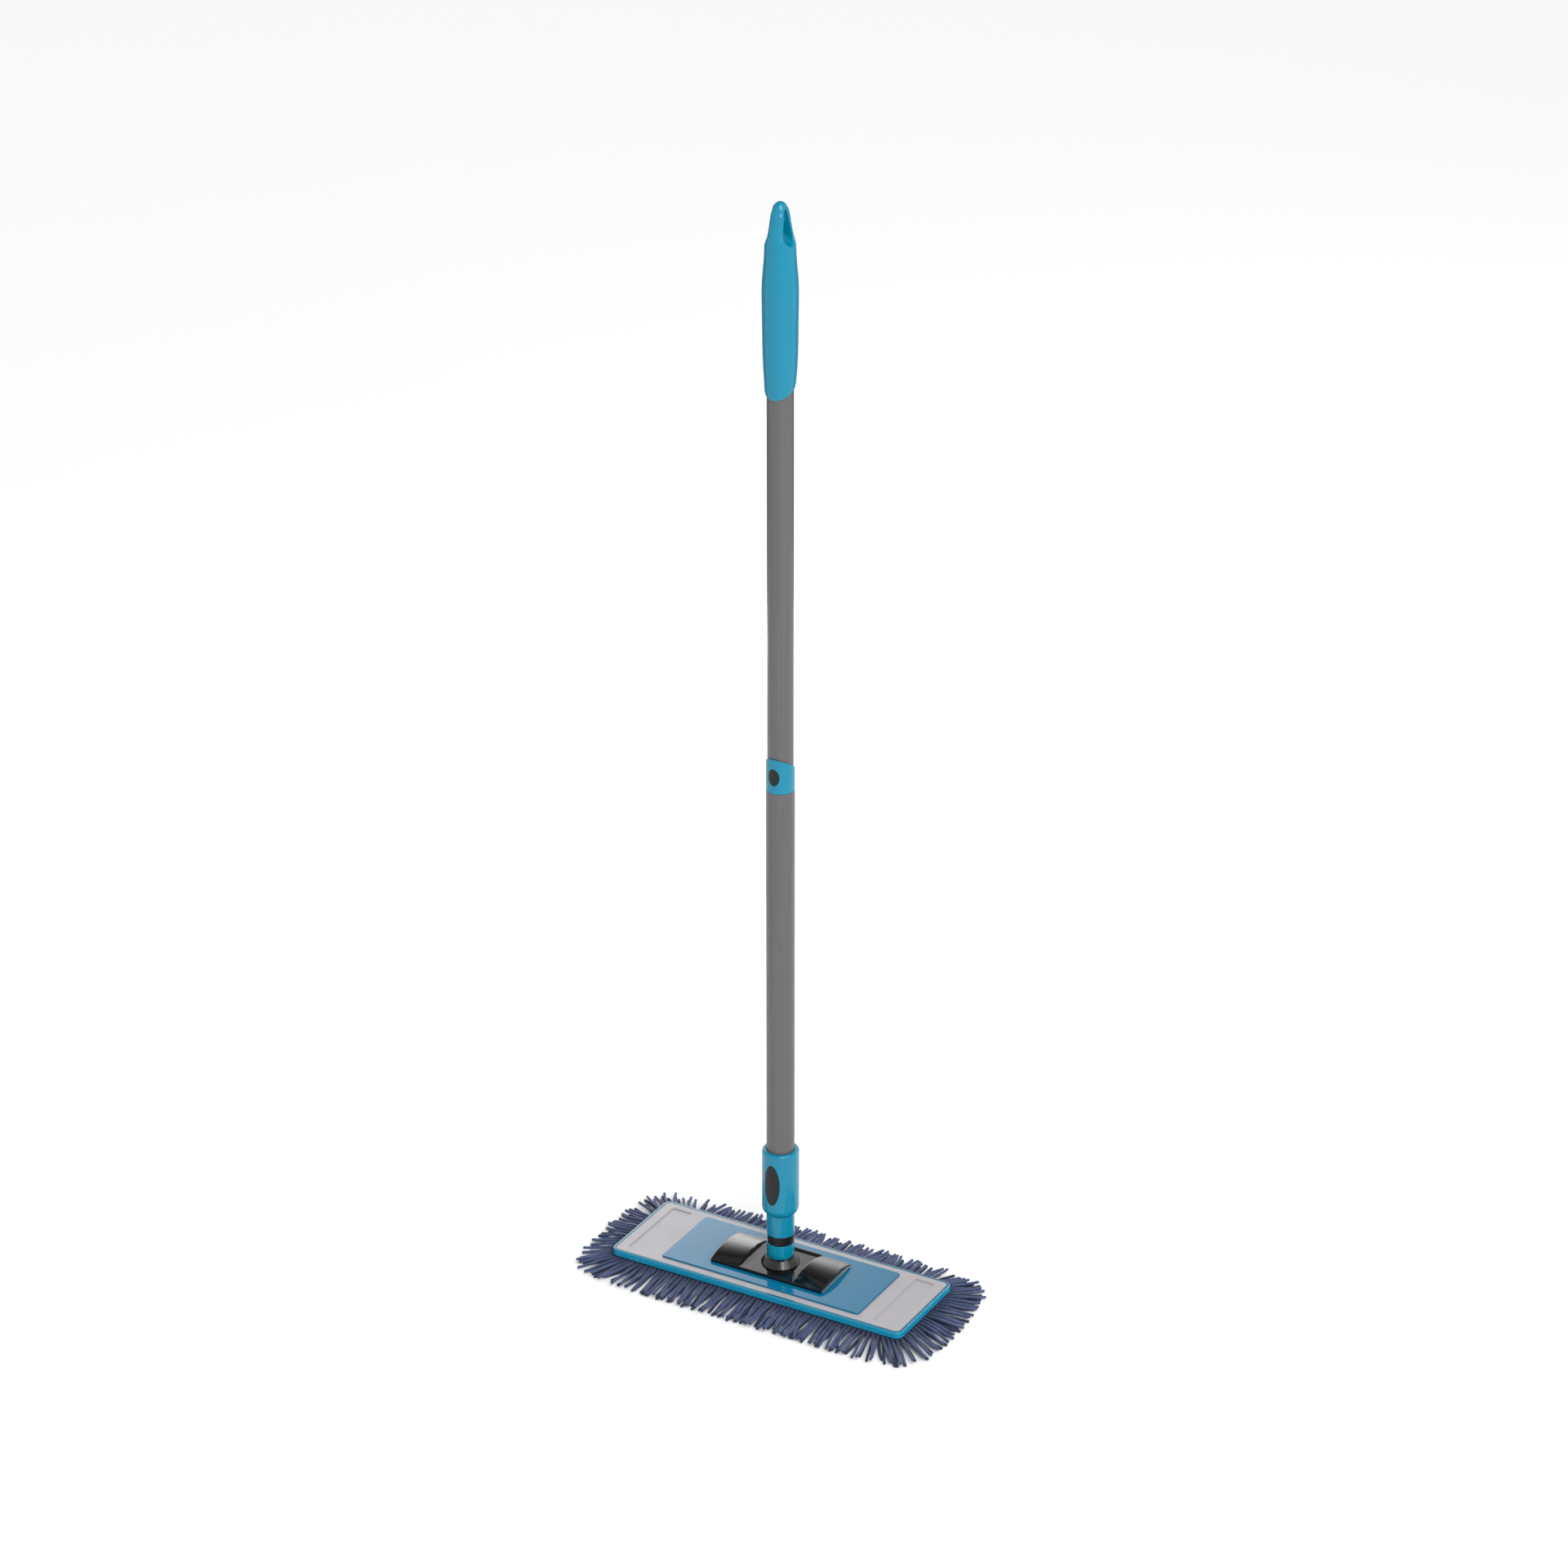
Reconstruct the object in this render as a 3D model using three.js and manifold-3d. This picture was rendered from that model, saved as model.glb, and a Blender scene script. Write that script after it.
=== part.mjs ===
// Flat mop with a telescopic pole, a hooded universal joint and a fringed microfibre pad.
// Millimetres, +Z up. The origin is on the floor under the pole's axis, +X runs along the
// mop head's long side and -Y is the side that the two push buttons face.
import * as THREE from "three";
import { mergeVertices } from "three/addons/utils/BufferGeometryUtils.js";
import Module from "manifold-3d";

const wasm = await Module();
wasm.setup();

// ---------------------------------------------------------------- driving dimensions
const GAP = 0.3; // between pieces that touch
const FIT = 0.3; // radial room round a pin, screw or spigot
const ROUND_SIDES = 40;
const SMALL_SIDES = 12;

// pad, from the floor up
const HEAD_HALF_X = 167; // half of the plastic frame's length
const HEAD_HALF_Y = 56.2;
const HEAD_CORNER = 8;
const FRINGE_REACH = 40; // how far the strands stand out past the frame
const PILE_TOP = 8.2;
const BACKING_TOP = 10;
const FRINGE_TOP = 8;

// frame, cover and panel
const FRAME_BOTTOM = 10.5;
const FRAME_FLOOR_TOP = 13;
const FRAME_TOP = 17.6;
const RIM_WALL = 3.4;
const COVER_BOTTOM = FRAME_FLOOR_TOP + GAP;
const COVER_TOP = 17.4;
const COVER_SKIN = 2.5;
const PANEL_HALF_X = 113.5;
const PANEL_HALF_Y = 44.5;
const PANEL_TOP = 19;
const PANEL_POCKET = 16.4;
const RECESS = { inner: 130.7, outer: 153.2, halfY: 45, floor: 16.3 };
const STRIP = { halfX: 145, halfY: 10, y: 36, bottom: 10.2, top: 10.9, groove: 11.2 };

// swivel base, the gull-winged block on the panel
const BASE_HALF_X = 64.3;
const BASE_HALF_Y = 30.3;
const BASE_BOTTOM = PANEL_TOP + GAP;
const BASE_FLAT_TOP = 22.6;
const WING_START = 31.5;
const WING_RISE = 6.5; // crown of the wing's arch over its edges
const WING_DROP = 0.25; // share of the rise that is lost towards the outer end
const BASE_WALL = 2.2;

// universal joint
const PIVOT_Z = 36.6;
const HOOD_RADIUS = 14;
const HOOD_INSIDE = 12.8;
const HOOD_DEPTH = 5.6; // how far the hood reaches below the pivot
const HOOD_CEILING = 41.5;
const HOOD_TOP = 46.9;
const SPIGOT_RADIUS = 9.5;
const SPIGOT_TOP = 63.5;
const CUP_TOP = 30.6;
const CUP_TOP_RADIUS = 15;
const CUP_FOOT_RADIUS = 19.7;
const CUP_CLEARANCE = 0.35;
const FORE_AFT_LIMIT = (42 * Math.PI) / 180; // how far the pole leans about X
const SIDE_LIMIT = (20 * Math.PI) / 180; // and about Y
const PIN_RADIUS = 1.5;
const EYE_RADIUS = 3.6;
const EYE_HALF_X = 3.4;
const YOKE = { halfX: 6.6, innerX: 4, halfY: 9.2, innerY: 7, halfZ: 2.2 };
const HOOD_PIN_END = 12.2;
const BOSS_START = 9.6;
const BOSS_RADIUS = 3.4;

// neck band and socket
const BAND_RADIUS = 13.6;
const BAND_TOP = 56.9;
const NECK_RADIUS = 14.15;
const NECK_BOTTOM = BAND_TOP + GAP;
const NECK_TOP = 80.9;
const SOCKET_RADIUS = 18.7;
const SOCKET_FLARE_TOP = 88.5;
const SOCKET_TOP = 153.6;
const SOCKET_SHOULDER = 3.8;
const SOCKET_BORE = 14.35;
const SOCKET_FLOOR = 92.5;
const SOCKET_BUTTON = { z: 119.4, halfX: 8.05, halfZ: 22.5 };
const LOCK_RING = { bottom: 107, top: 132, outer: 16.2, travel: 1.5, pocket: 17.1 };

// pole
const LOWER_RADIUS = 14;
const LOWER_BORE = 13;
const LOWER_BOTTOM = SOCKET_FLOOR + GAP;
const LOWER_NECK_RADIUS = 13.35; // the turned-down end inside the collar
const COLLAR_BOTTOM = 550.5;
const COLLAR_RADIUS = 14.05;
const COLLAR_POCKET = 13.6;
const COLLAR_POCKET_TOP = 566.5;
const COLLAR_MIDDLE = 578.4; // height of the slanted top edge on the axis
const COLLAR_SLOPE = -0.6; // rise of that edge for each millimetre along +Y
const COLLAR_BUTTON = { z: 567.8, halfX: 5.75, halfZ: 8.6 };
const CLAMP_RING = { bottom: 557.5, top: 566, inner: 12.95, outer: 13.35, halfGap: 6.5 };
const UPPER_RADIUS = 12.7;
const UPPER_BORE = 11.7;
const UPPER_BOTTOM = 486;
const UPPER_TOP = 1082;
const BUSH = { bottom: 480, flange: 12.85, spigot: 11.4, bore: 9, top: 500 };

// grip
const GRIP_PROFILE = [
  [14.2, 944],
  [15.2, 972],
  [16.3, 990],
  [16.9, 1020],
  [17.35, 1053],
  [16.4, 1073],
  [15.2, 1087],
  [14.7, 1099],
  [13.9, 1109],
  [11.9, 1119],
  [10.4, 1128],
  [8.8, 1134.5],
  [5.6, 1140.3],
  [0, 1143],
]; // radius and height along the handle
const GRIP_RINGS = 18;
const GRIP_BORE_TOP = 1083;
const GRIP_EDGE_MIDDLE = 961; // height of the slanted lower edge on the axis
const GRIP_SLOPE = 0.571;
const HOLE = { lowZ: 1110.2, lowRadius: 8.2, highZ: 1131.5, highRadius: 3.3 };

// fasteners under the head
const BASE_SCREWS = [-48, 48].flatMap((x) => [-15, 15].map((y) => [x, y]));
const COVER_SCREWS = [-150, -122, 122, 150].map((x) => [x, 0]);
const SCREW = { head: 3.3, headBottom: 10.8, headTop: 11.6, baseTip: 23, coverTip: 14.9 };
const COUNTERBORE_TOP = 11.9;

// ---------------------------------------------------------------- shape helpers
const FAR = 60; // longer than any cut has to be

// A closed three.js geometry as a manifold-3d solid.
function solid(geometry) {
  const bare = (geometry.index ? geometry.toNonIndexed() : geometry).clone();
  bare.deleteAttribute("normal");
  bare.deleteAttribute("uv");
  const merged = mergeVertices(bare, 1e-4);
  const corners = merged.index.array;
  const triangles = [];
  for (let i = 0; i < corners.length; i += 3) {
    const [a, b, c] = corners.slice(i, i + 3);
    if (a !== b && b !== c && c !== a) triangles.push(a, b, c);
  }
  const vertProperties = new Float32Array(merged.attributes.position.array);
  const triVerts = new Uint32Array(triangles);
  return new wasm.Manifold(new wasm.Mesh({ numProp: 3, vertProperties, triVerts }));
}

// A manifold-3d solid as a named three.js mesh.
function mesh(name, body, material) {
  const { vertProperties, triVerts } = body.getMesh();
  const geometry = new THREE.BufferGeometry();
  geometry.setAttribute("position", new THREE.BufferAttribute(vertProperties, 3));
  geometry.setIndex(new THREE.BufferAttribute(triVerts, 1));
  geometry.computeVertexNormals();
  const made = new THREE.Mesh(geometry, material);
  made.name = name;
  return made;
}

function finish(colour, roughness, metalness = 0) {
  return new THREE.MeshStandardMaterial({ color: colour, roughness, metalness });
}

// Turns a closed outline of [radius, height] points about the Z axis.
function turned(outline, sides = ROUND_SIDES) {
  const points = outline.map(([r, z]) => new THREE.Vector2(r, z));
  if (THREE.ShapeUtils.area(points) < 0) points.reverse();
  points.push(points[0].clone());
  const geometry = new THREE.LatheGeometry(points, sides);
  geometry.rotateX(Math.PI / 2);
  return solid(geometry);
}

function disc(radius, bottom, top, sides = ROUND_SIDES) {
  const geometry = new THREE.CylinderGeometry(radius, radius, top - bottom, sides);
  geometry.rotateX(Math.PI / 2).translate(0, 0, (bottom + top) / 2);
  return solid(geometry);
}

function tube(inner, outer, bottom, top) {
  const outline = [
    [inner, bottom],
    [outer, bottom],
    [outer, top],
    [inner, top],
  ];
  return turned(outline);
}

// A round bar along X or Y from one coordinate to the other.
function bar(axis, radius, start, end, sides = SMALL_SIDES) {
  const geometry = new THREE.CylinderGeometry(radius, radius, end - start, sides);
  const middle = (start + end) / 2;
  if (axis === "x") geometry.rotateZ(Math.PI / 2).translate(middle, 0, 0);
  else geometry.translate(0, middle, 0);
  return solid(geometry);
}

function box(x0, x1, y0, y1, z0, z1) {
  const geometry = new THREE.BoxGeometry(x1 - x0, y1 - y0, z1 - z0);
  geometry.translate((x0 + x1) / 2, (y0 + y1) / 2, (z0 + z1) / 2);
  return solid(geometry);
}

function centredBox(halfX, halfY, bottom, top) {
  return box(-halfX, halfX, -halfY, halfY, bottom, top);
}

function roundedRectangle(halfX, halfY, radius) {
  const shape = new THREE.Shape();
  const x = halfX - radius;
  const y = halfY - radius;
  shape.absarc(x, y, radius, 0, Math.PI / 2);
  shape.absarc(-x, y, radius, Math.PI / 2, Math.PI);
  shape.absarc(-x, -y, radius, Math.PI, 1.5 * Math.PI);
  shape.absarc(x, -y, radius, 1.5 * Math.PI, 2 * Math.PI);
  return shape;
}

function slab(halfX, halfY, radius, bottom, top, steps = 6) {
  const options = { depth: top - bottom, bevelEnabled: false, curveSegments: steps };
  const geometry = new THREE.ExtrudeGeometry(roundedRectangle(halfX, halfY, radius), options);
  return solid(geometry.translate(0, 0, bottom));
}

// A half-space under (or over) the plane z = middle + slope * y, as a large block.
function slantedBlock(middle, slope, side) {
  const geometry = new THREE.BoxGeometry(2 * FAR, 2 * FAR, FAR);
  geometry.translate(0, 0, (side * FAR) / 2);
  geometry.rotateX(Math.atan(slope));
  return solid(geometry.translate(0, 0, middle));
}

// An upright oval bar along -Y, for a button or its window.
function ovalBar(spec, growth, nearY, farY) {
  const shape = new THREE.Shape();
  shape.absellipse(0, 0, spec.halfX + growth, spec.halfZ + growth, 0, 2 * Math.PI);
  const options = { depth: farY - nearY, bevelEnabled: false, curveSegments: 18 };
  const geometry = new THREE.ExtrudeGeometry(shape, options);
  geometry.rotateX(Math.PI / 2).translate(0, farY, spec.z);
  return solid(geometry);
}

function ball(radius, z) {
  const geometry = new THREE.SphereGeometry(radius, ROUND_SIDES, 20);
  geometry.rotateX(Math.PI / 2).translate(0, 0, z);
  return solid(geometry);
}

function joined(bodies) {
  return bodies.reduce((whole, next) => whole.add(next));
}

function cut(body, tools) {
  return tools.reduce((rest, tool) => rest.subtract(tool), body);
}

function upright(radius, places, bottom, top) {
  return places.map(([x, y]) => disc(radius, bottom, top, SMALL_SIDES).translate([x, y, 0]));
}

// ---------------------------------------------------------------- pad
function padPile() {
  return slab(HEAD_HALF_X - 3.4, HEAD_HALF_Y - 3, HEAD_CORNER, 0, PILE_TOP);
}

function padBacking() {
  return slab(HEAD_HALF_X - 1.9, HEAD_HALF_Y - 1.7, HEAD_CORNER, PILE_TOP + GAP, BACKING_TOP);
}

function padFringe() {
  const reach = FRINGE_REACH;
  const corner = HEAD_CORNER + reach;
  const outer = slab(HEAD_HALF_X + reach, HEAD_HALF_Y + reach, corner, GAP, FRINGE_TOP, 10);
  const inner = slab(HEAD_HALF_X - 1.4, HEAD_HALF_Y - 1, HEAD_CORNER, -1, FRINGE_TOP + 1);
  return outer.subtract(inner);
}

// ---------------------------------------------------------------- frame, cover and panel
function mopFrame() {
  const outer = slab(HEAD_HALF_X, HEAD_HALF_Y, HEAD_CORNER, FRAME_BOTTOM, FRAME_TOP);
  const hollow = slab(
    HEAD_HALF_X - RIM_WALL,
    HEAD_HALF_Y - RIM_WALL,
    HEAD_CORNER - RIM_WALL,
    FRAME_FLOOR_TOP,
    FRAME_TOP + 1,
  );
  const grooves = [-STRIP.y, STRIP.y].map((y) =>
    centredBox(STRIP.halfX + GAP, STRIP.halfY + GAP, 0, STRIP.groove).translate([0, y, 0]),
  );
  const screws = [...BASE_SCREWS, ...COVER_SCREWS];
  const counterbores = upright(SCREW.head + FIT, screws, 0, COUNTERBORE_TOP);
  const holes = upright(PIN_RADIUS + FIT, screws, 0, FRAME_TOP);
  return cut(outer, [hollow, ...grooves, ...counterbores, ...holes]);
}

function hookStrip(y) {
  return centredBox(STRIP.halfX, STRIP.halfY, STRIP.bottom, STRIP.top).translate([0, y, 0]);
}

function topCover() {
  const halfX = HEAD_HALF_X - RIM_WALL - GAP;
  const halfY = HEAD_HALF_Y - RIM_WALL - GAP;
  const corner = HEAD_CORNER - RIM_WALL - GAP;
  const plate = slab(halfX, halfY, corner, COVER_BOTTOM, COVER_TOP);
  const bays = 6;
  const bayLength = (2 * (halfX - COVER_SKIN)) / bays;
  const hollows = [];
  for (let bay = 0; bay < bays; bay += 1) {
    const start = -halfX + COVER_SKIN + bay * bayLength;
    const side = halfY - COVER_SKIN;
    hollows.push(box(start + 1, start + bayLength - 1, -side, side, 0, COVER_TOP - COVER_SKIN));
  }
  const screws = [...BASE_SCREWS, ...COVER_SCREWS];
  const bosses = upright(3.6, screws, COVER_BOTTOM, COVER_TOP - COVER_SKIN + 0.5);
  const body = joined([cut(plate, hollows), ...bosses]);
  const panelPocket = slab(PANEL_HALF_X + GAP, PANEL_HALF_Y + GAP, 3, PANEL_POCKET, FAR);
  const recess = (side) => {
    const middle = (side * (RECESS.inner + RECESS.outer)) / 2;
    const halfLength = (RECESS.outer - RECESS.inner) / 2;
    return slab(halfLength, RECESS.halfY, 3, RECESS.floor, FAR).translate([middle, 0, 0]);
  };
  const throughHoles = upright(PIN_RADIUS + FIT, BASE_SCREWS, 0, FAR);
  const blindHoles = upright(PIN_RADIUS + FIT, COVER_SCREWS, 0, SCREW.coverTip + GAP);
  return cut(body, [panelPocket, recess(-1), recess(1), ...throughHoles, ...blindHoles]);
}

function insetPanel() {
  const plate = slab(PANEL_HALF_X, PANEL_HALF_Y, 2.7, PANEL_POCKET + GAP, PANEL_TOP);
  return cut(plate, upright(PIN_RADIUS + FIT, BASE_SCREWS, 0, FAR));
}

function screw(x, y, tip) {
  const outline = [
    [0, SCREW.headBottom],
    [SCREW.head, SCREW.headBottom],
    [SCREW.head, SCREW.headTop],
    [PIN_RADIUS, SCREW.headTop],
    [PIN_RADIUS, tip - 1],
    [0, tip],
  ];
  return turned(outline, SMALL_SIDES).translate([x, y, 0]);
}

// ---------------------------------------------------------------- swivel base
// One arched wing from x0 to x1: an arch over Y whose crown falls towards the outer end.
function wing(x0, x1, halfY, bottom, edge, rise) {
  const shape = new THREE.Shape();
  const radius = (halfY * halfY + rise * rise) / (2 * rise);
  const sweep = Math.asin(halfY / radius);
  shape.moveTo(-halfY, bottom);
  shape.lineTo(-halfY, edge);
  shape.absarc(0, edge + rise - radius, radius, Math.PI / 2 + sweep, Math.PI / 2 - sweep, true);
  shape.lineTo(halfY, bottom);
  const options = { depth: x1 - x0, bevelEnabled: false, curveSegments: 14, steps: 1 };
  const geometry = new THREE.ExtrudeGeometry(shape, options);
  geometry.rotateZ(Math.PI / 2).rotateY(Math.PI / 2);
  const place = geometry.attributes.position;
  for (let i = 0; i < place.count; i += 1) {
    const along = place.getX(i);
    const over = Math.max(0, place.getZ(i) - edge);
    place.setXYZ(i, x0 + along, place.getY(i), place.getZ(i) - (over * WING_DROP * along) / (x1 - x0));
  }
  return solid(geometry);
}

function swivelBase() {
  const plate = centredBox(BASE_HALF_X, BASE_HALF_Y, BASE_BOTTOM, BASE_FLAT_TOP);
  const outer = wing(WING_START, BASE_HALF_X, BASE_HALF_Y, BASE_BOTTOM, BASE_FLAT_TOP, WING_RISE);
  const inner = wing(
    WING_START + BASE_WALL,
    BASE_HALF_X - BASE_WALL,
    BASE_HALF_Y - BASE_WALL,
    BASE_BOTTOM - 1,
    BASE_FLAT_TOP - BASE_WALL,
    WING_RISE,
  );
  const wings = [outer, outer.mirror([1, 0, 0])];
  const hollows = [inner, inner.mirror([1, 0, 0])];
  const bosses = upright(3.4, BASE_SCREWS, BASE_BOTTOM, SCREW.baseTip + 1.5);
  const body = joined([cut(joined([plate, ...wings]), hollows), ...bosses]);
  const flangePocket = disc(11.4, 0, 20.8);
  const postHole = centredBox(EYE_HALF_X + FIT, 2.4, 0, FAR);
  const pegHoles = upright(1.7, [[-16.2, 0], [16.2, 0]], 0, FAR);
  const pilots = upright(PIN_RADIUS + FIT, BASE_SCREWS, 0, SCREW.baseTip + GAP);
  return cut(body, [flangePocket, postHole, ...pegHoles, ...pilots]);
}

// ---------------------------------------------------------------- universal joint
function jointCup() {
  const outline = [
    [0, BASE_FLAT_TOP + GAP],
    [CUP_FOOT_RADIUS, BASE_FLAT_TOP + GAP],
    [CUP_FOOT_RADIUS, BASE_FLAT_TOP + GAP + 0.8],
    [CUP_TOP_RADIUS, CUP_TOP],
    [0, CUP_TOP],
  ];
  const pegs = upright(1.4, [[-16.2, 0], [16.2, 0]], 20, BASE_FLAT_TOP + 2);
  // Above the bowl the mouth flares along the hood's side as it lies at full lean.
  const bowlRadius = HOOD_RADIUS + CUP_CLEARANCE;
  const lean = Math.acos(Math.cos(FORE_AFT_LIMIT) * Math.cos(SIDE_LIMIT));
  const mouthZ = PIVOT_Z - bowlRadius * Math.sin(lean);
  const flareRadius = (z) => (bowlRadius + (z - PIVOT_Z) * Math.sin(lean)) / Math.cos(lean);
  const flare = turned([
    [0, mouthZ],
    [flareRadius(mouthZ), mouthZ],
    [flareRadius(CUP_TOP + 1), CUP_TOP + 1],
    [0, CUP_TOP + 1],
  ]);
  const bowl = ball(bowlRadius, PIVOT_Z);
  return cut(joined([turned(outline), ...pegs]), [bowl, flare, disc(4.4, 0, FAR)]);
}

function pivotPost() {
  const flange = disc(11, BASE_BOTTOM, 20.5);
  const shank = box(-EYE_HALF_X, EYE_HALF_X, -1.9, 1.9, 20, PIVOT_Z);
  const eye = bar("x", EYE_RADIUS, -EYE_HALF_X, EYE_HALF_X, 24).translate([0, 0, PIVOT_Z]);
  const hole = bar("x", PIN_RADIUS + FIT, -FAR, FAR).translate([0, 0, PIVOT_Z]);
  return joined([flange, shank, eye]).subtract(hole);
}

function swivelYoke() {
  const block = centredBox(YOKE.halfX, YOKE.halfY, -YOKE.halfZ, YOKE.halfZ);
  const opening = centredBox(YOKE.innerX, YOKE.innerY, -FAR, FAR);
  const holes = [bar("x", PIN_RADIUS + FIT, -FAR, FAR), bar("y", PIN_RADIUS + FIT, -FAR, FAR)];
  return cut(block, [opening, ...holes]).translate([0, 0, PIVOT_Z]);
}

function yokePin() {
  return bar("x", PIN_RADIUS, -YOKE.halfX, YOKE.halfX).translate([0, 0, PIVOT_Z]);
}

function hoodPin(side) {
  const start = Math.min(side * YOKE.innerY, side * HOOD_PIN_END);
  const end = Math.max(side * YOKE.innerY, side * HOOD_PIN_END);
  return bar("y", PIN_RADIUS, start, end).translate([0, 0, PIVOT_Z]);
}

function hood() {
  const shell = joined([ball(HOOD_RADIUS, PIVOT_Z), disc(HOOD_RADIUS, PIVOT_Z, HOOD_TOP)]);
  const inside = joined([ball(HOOD_INSIDE, PIVOT_Z), disc(HOOD_INSIDE, PIVOT_Z, HOOD_TOP)]);
  const openBottom = disc(FAR, 0, PIVOT_Z - HOOD_DEPTH);
  const overCeiling = disc(FAR, HOOD_CEILING, FAR);
  const overTop = disc(FAR, HOOD_TOP, FAR);
  const bosses = [-1, 1].map((side) => {
    const start = side > 0 ? BOSS_START : -HOOD_INSIDE - 0.4;
    const end = side > 0 ? HOOD_INSIDE + 0.4 : -BOSS_START;
    return bar("y", BOSS_RADIUS, start, end, 24).translate([0, 0, PIVOT_Z]);
  });
  const walls = cut(shell, [inside.subtract(overCeiling), openBottom, overTop]);
  const spigot = disc(SPIGOT_RADIUS, HOOD_TOP - 1, SPIGOT_TOP);
  const reach = HOOD_PIN_END + FIT;
  const pinHoles = bar("y", PIN_RADIUS + FIT, -reach, reach).translate([0, 0, PIVOT_Z]);
  const counterbore = disc(3.9, PIVOT_Z, HOOD_CEILING + 2.8, 24);
  const screwHole = disc(PIN_RADIUS + FIT, PIVOT_Z, FAR + 10, SMALL_SIDES);
  return cut(joined([walls, spigot, ...bosses]), [pinHoles, counterbore, screwHole]);
}

function neckBand() {
  return tube(SPIGOT_RADIUS + 0.4, BAND_RADIUS, HOOD_TOP + GAP, BAND_TOP);
}

function neckScrew() {
  const outline = [
    [0, HOOD_CEILING + 0.4],
    [3.5, HOOD_CEILING + 0.4],
    [3.5, HOOD_CEILING + 2.5],
    [PIN_RADIUS, HOOD_CEILING + 2.5],
    [PIN_RADIUS, 79],
    [0, 80.5],
  ];
  return turned(outline, SMALL_SIDES);
}

// ---------------------------------------------------------------- socket
function socket() {
  const outline = [
    [0, NECK_BOTTOM],
    [NECK_RADIUS, NECK_BOTTOM],
    [NECK_RADIUS, NECK_TOP],
    [NECK_RADIUS + 3.3, NECK_TOP + 3.5],
    [SOCKET_RADIUS - 0.35, SOCKET_FLARE_TOP - 1.6],
    [SOCKET_RADIUS, SOCKET_FLARE_TOP],
  ];
  const steps = 5;
  for (let step = 0; step <= steps; step += 1) {
    const angle = (step / steps) * (Math.PI / 2);
    const radius = SOCKET_RADIUS - SOCKET_SHOULDER * (1 - Math.cos(angle));
    outline.push([radius, SOCKET_TOP - SOCKET_SHOULDER * (1 - Math.sin(angle))]);
  }
  outline.push([0, SOCKET_TOP]);
  const bore = disc(SOCKET_BORE, SOCKET_FLOOR, 2 * SOCKET_TOP);
  const spigotBore = disc(SPIGOT_RADIUS + FIT, 0, 66);
  const pilot = disc(PIN_RADIUS + FIT, 50, 82, SMALL_SIDES);
  const ringPocket = disc(LOCK_RING.pocket, LOCK_RING.bottom - GAP, LOCK_RING.top + GAP);
  const window = ovalBar(SOCKET_BUTTON, FIT, -FAR, -SOCKET_BORE + 4);
  return cut(turned(outline), [bore, spigotBore, pilot, ringPocket, window]);
}

// The brake ring that the socket's button pushes: an eccentric ring round the pole.
function lockRing() {
  const { bottom, top, outer, travel } = LOCK_RING;
  const inner = LOWER_RADIUS + GAP + travel / 2;
  return tube(inner, outer, bottom, top).translate([0, -travel / 2, 0]);
}

function socketButton() {
  const proud = 0.25;
  const pad = ovalBar(SOCKET_BUTTON, 0, -FAR, -SOCKET_BORE + 6);
  const outside = disc(SOCKET_RADIUS + proud, 0, SOCKET_TOP);
  const inside = disc(LOCK_RING.outer + GAP, 0, SOCKET_TOP + 1);
  return pad.intersect(outside).subtract(inside.translate([0, -LOCK_RING.travel / 2, 0]));
}

// ---------------------------------------------------------------- pole
function lowerTube() {
  const outline = [
    [LOWER_BORE, LOWER_BOTTOM],
    [LOWER_RADIUS, LOWER_BOTTOM],
    [LOWER_RADIUS, COLLAR_BOTTOM - GAP],
    [LOWER_NECK_RADIUS, COLLAR_BOTTOM - GAP],
    [LOWER_NECK_RADIUS, CLAMP_RING.bottom - 1],
    [LOWER_BORE, CLAMP_RING.bottom - 1],
  ];
  return turned(outline);
}

function collar() {
  const outline = [
    [COLLAR_POCKET, COLLAR_BOTTOM],
    [COLLAR_RADIUS, COLLAR_BOTTOM],
    [COLLAR_RADIUS, COLLAR_MIDDLE + 20],
    [LOWER_BORE, COLLAR_MIDDLE + 20],
    [LOWER_BORE, COLLAR_POCKET_TOP],
    [COLLAR_POCKET, COLLAR_POCKET_TOP],
  ];
  const over = slantedBlock(COLLAR_MIDDLE, COLLAR_SLOPE, 1);
  const window = ovalBar(COLLAR_BUTTON, FIT, -FAR, -6);
  return cut(turned(outline), [over, window]);
}

function clampRing() {
  const ring = tube(CLAMP_RING.inner, CLAMP_RING.outer, CLAMP_RING.bottom, CLAMP_RING.top);
  const half = CLAMP_RING.halfGap;
  return ring.subtract(box(-half, half, -FAR, 0, 0, CLAMP_RING.top + FAR));
}

function collarButton() {
  const proud = 0.2;
  const pad = ovalBar(COLLAR_BUTTON, 0, -FAR, -6);
  const outside = disc(COLLAR_RADIUS + proud, COLLAR_BOTTOM, COLLAR_MIDDLE + 20);
  const inside = disc(COLLAR_POCKET + 0.1, COLLAR_BOTTOM - 1, COLLAR_MIDDLE + 21);
  return pad.intersect(outside).subtract(inside);
}

function upperTube() {
  return tube(UPPER_BORE, UPPER_RADIUS, UPPER_BOTTOM, UPPER_TOP);
}

function guideBush() {
  const outline = [
    [BUSH.bore, BUSH.bottom],
    [BUSH.flange, BUSH.bottom],
    [BUSH.flange, UPPER_BOTTOM - GAP],
    [BUSH.spigot, UPPER_BOTTOM - GAP],
    [BUSH.spigot, BUSH.top],
    [BUSH.bore, BUSH.top],
  ];
  return turned(outline);
}

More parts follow.
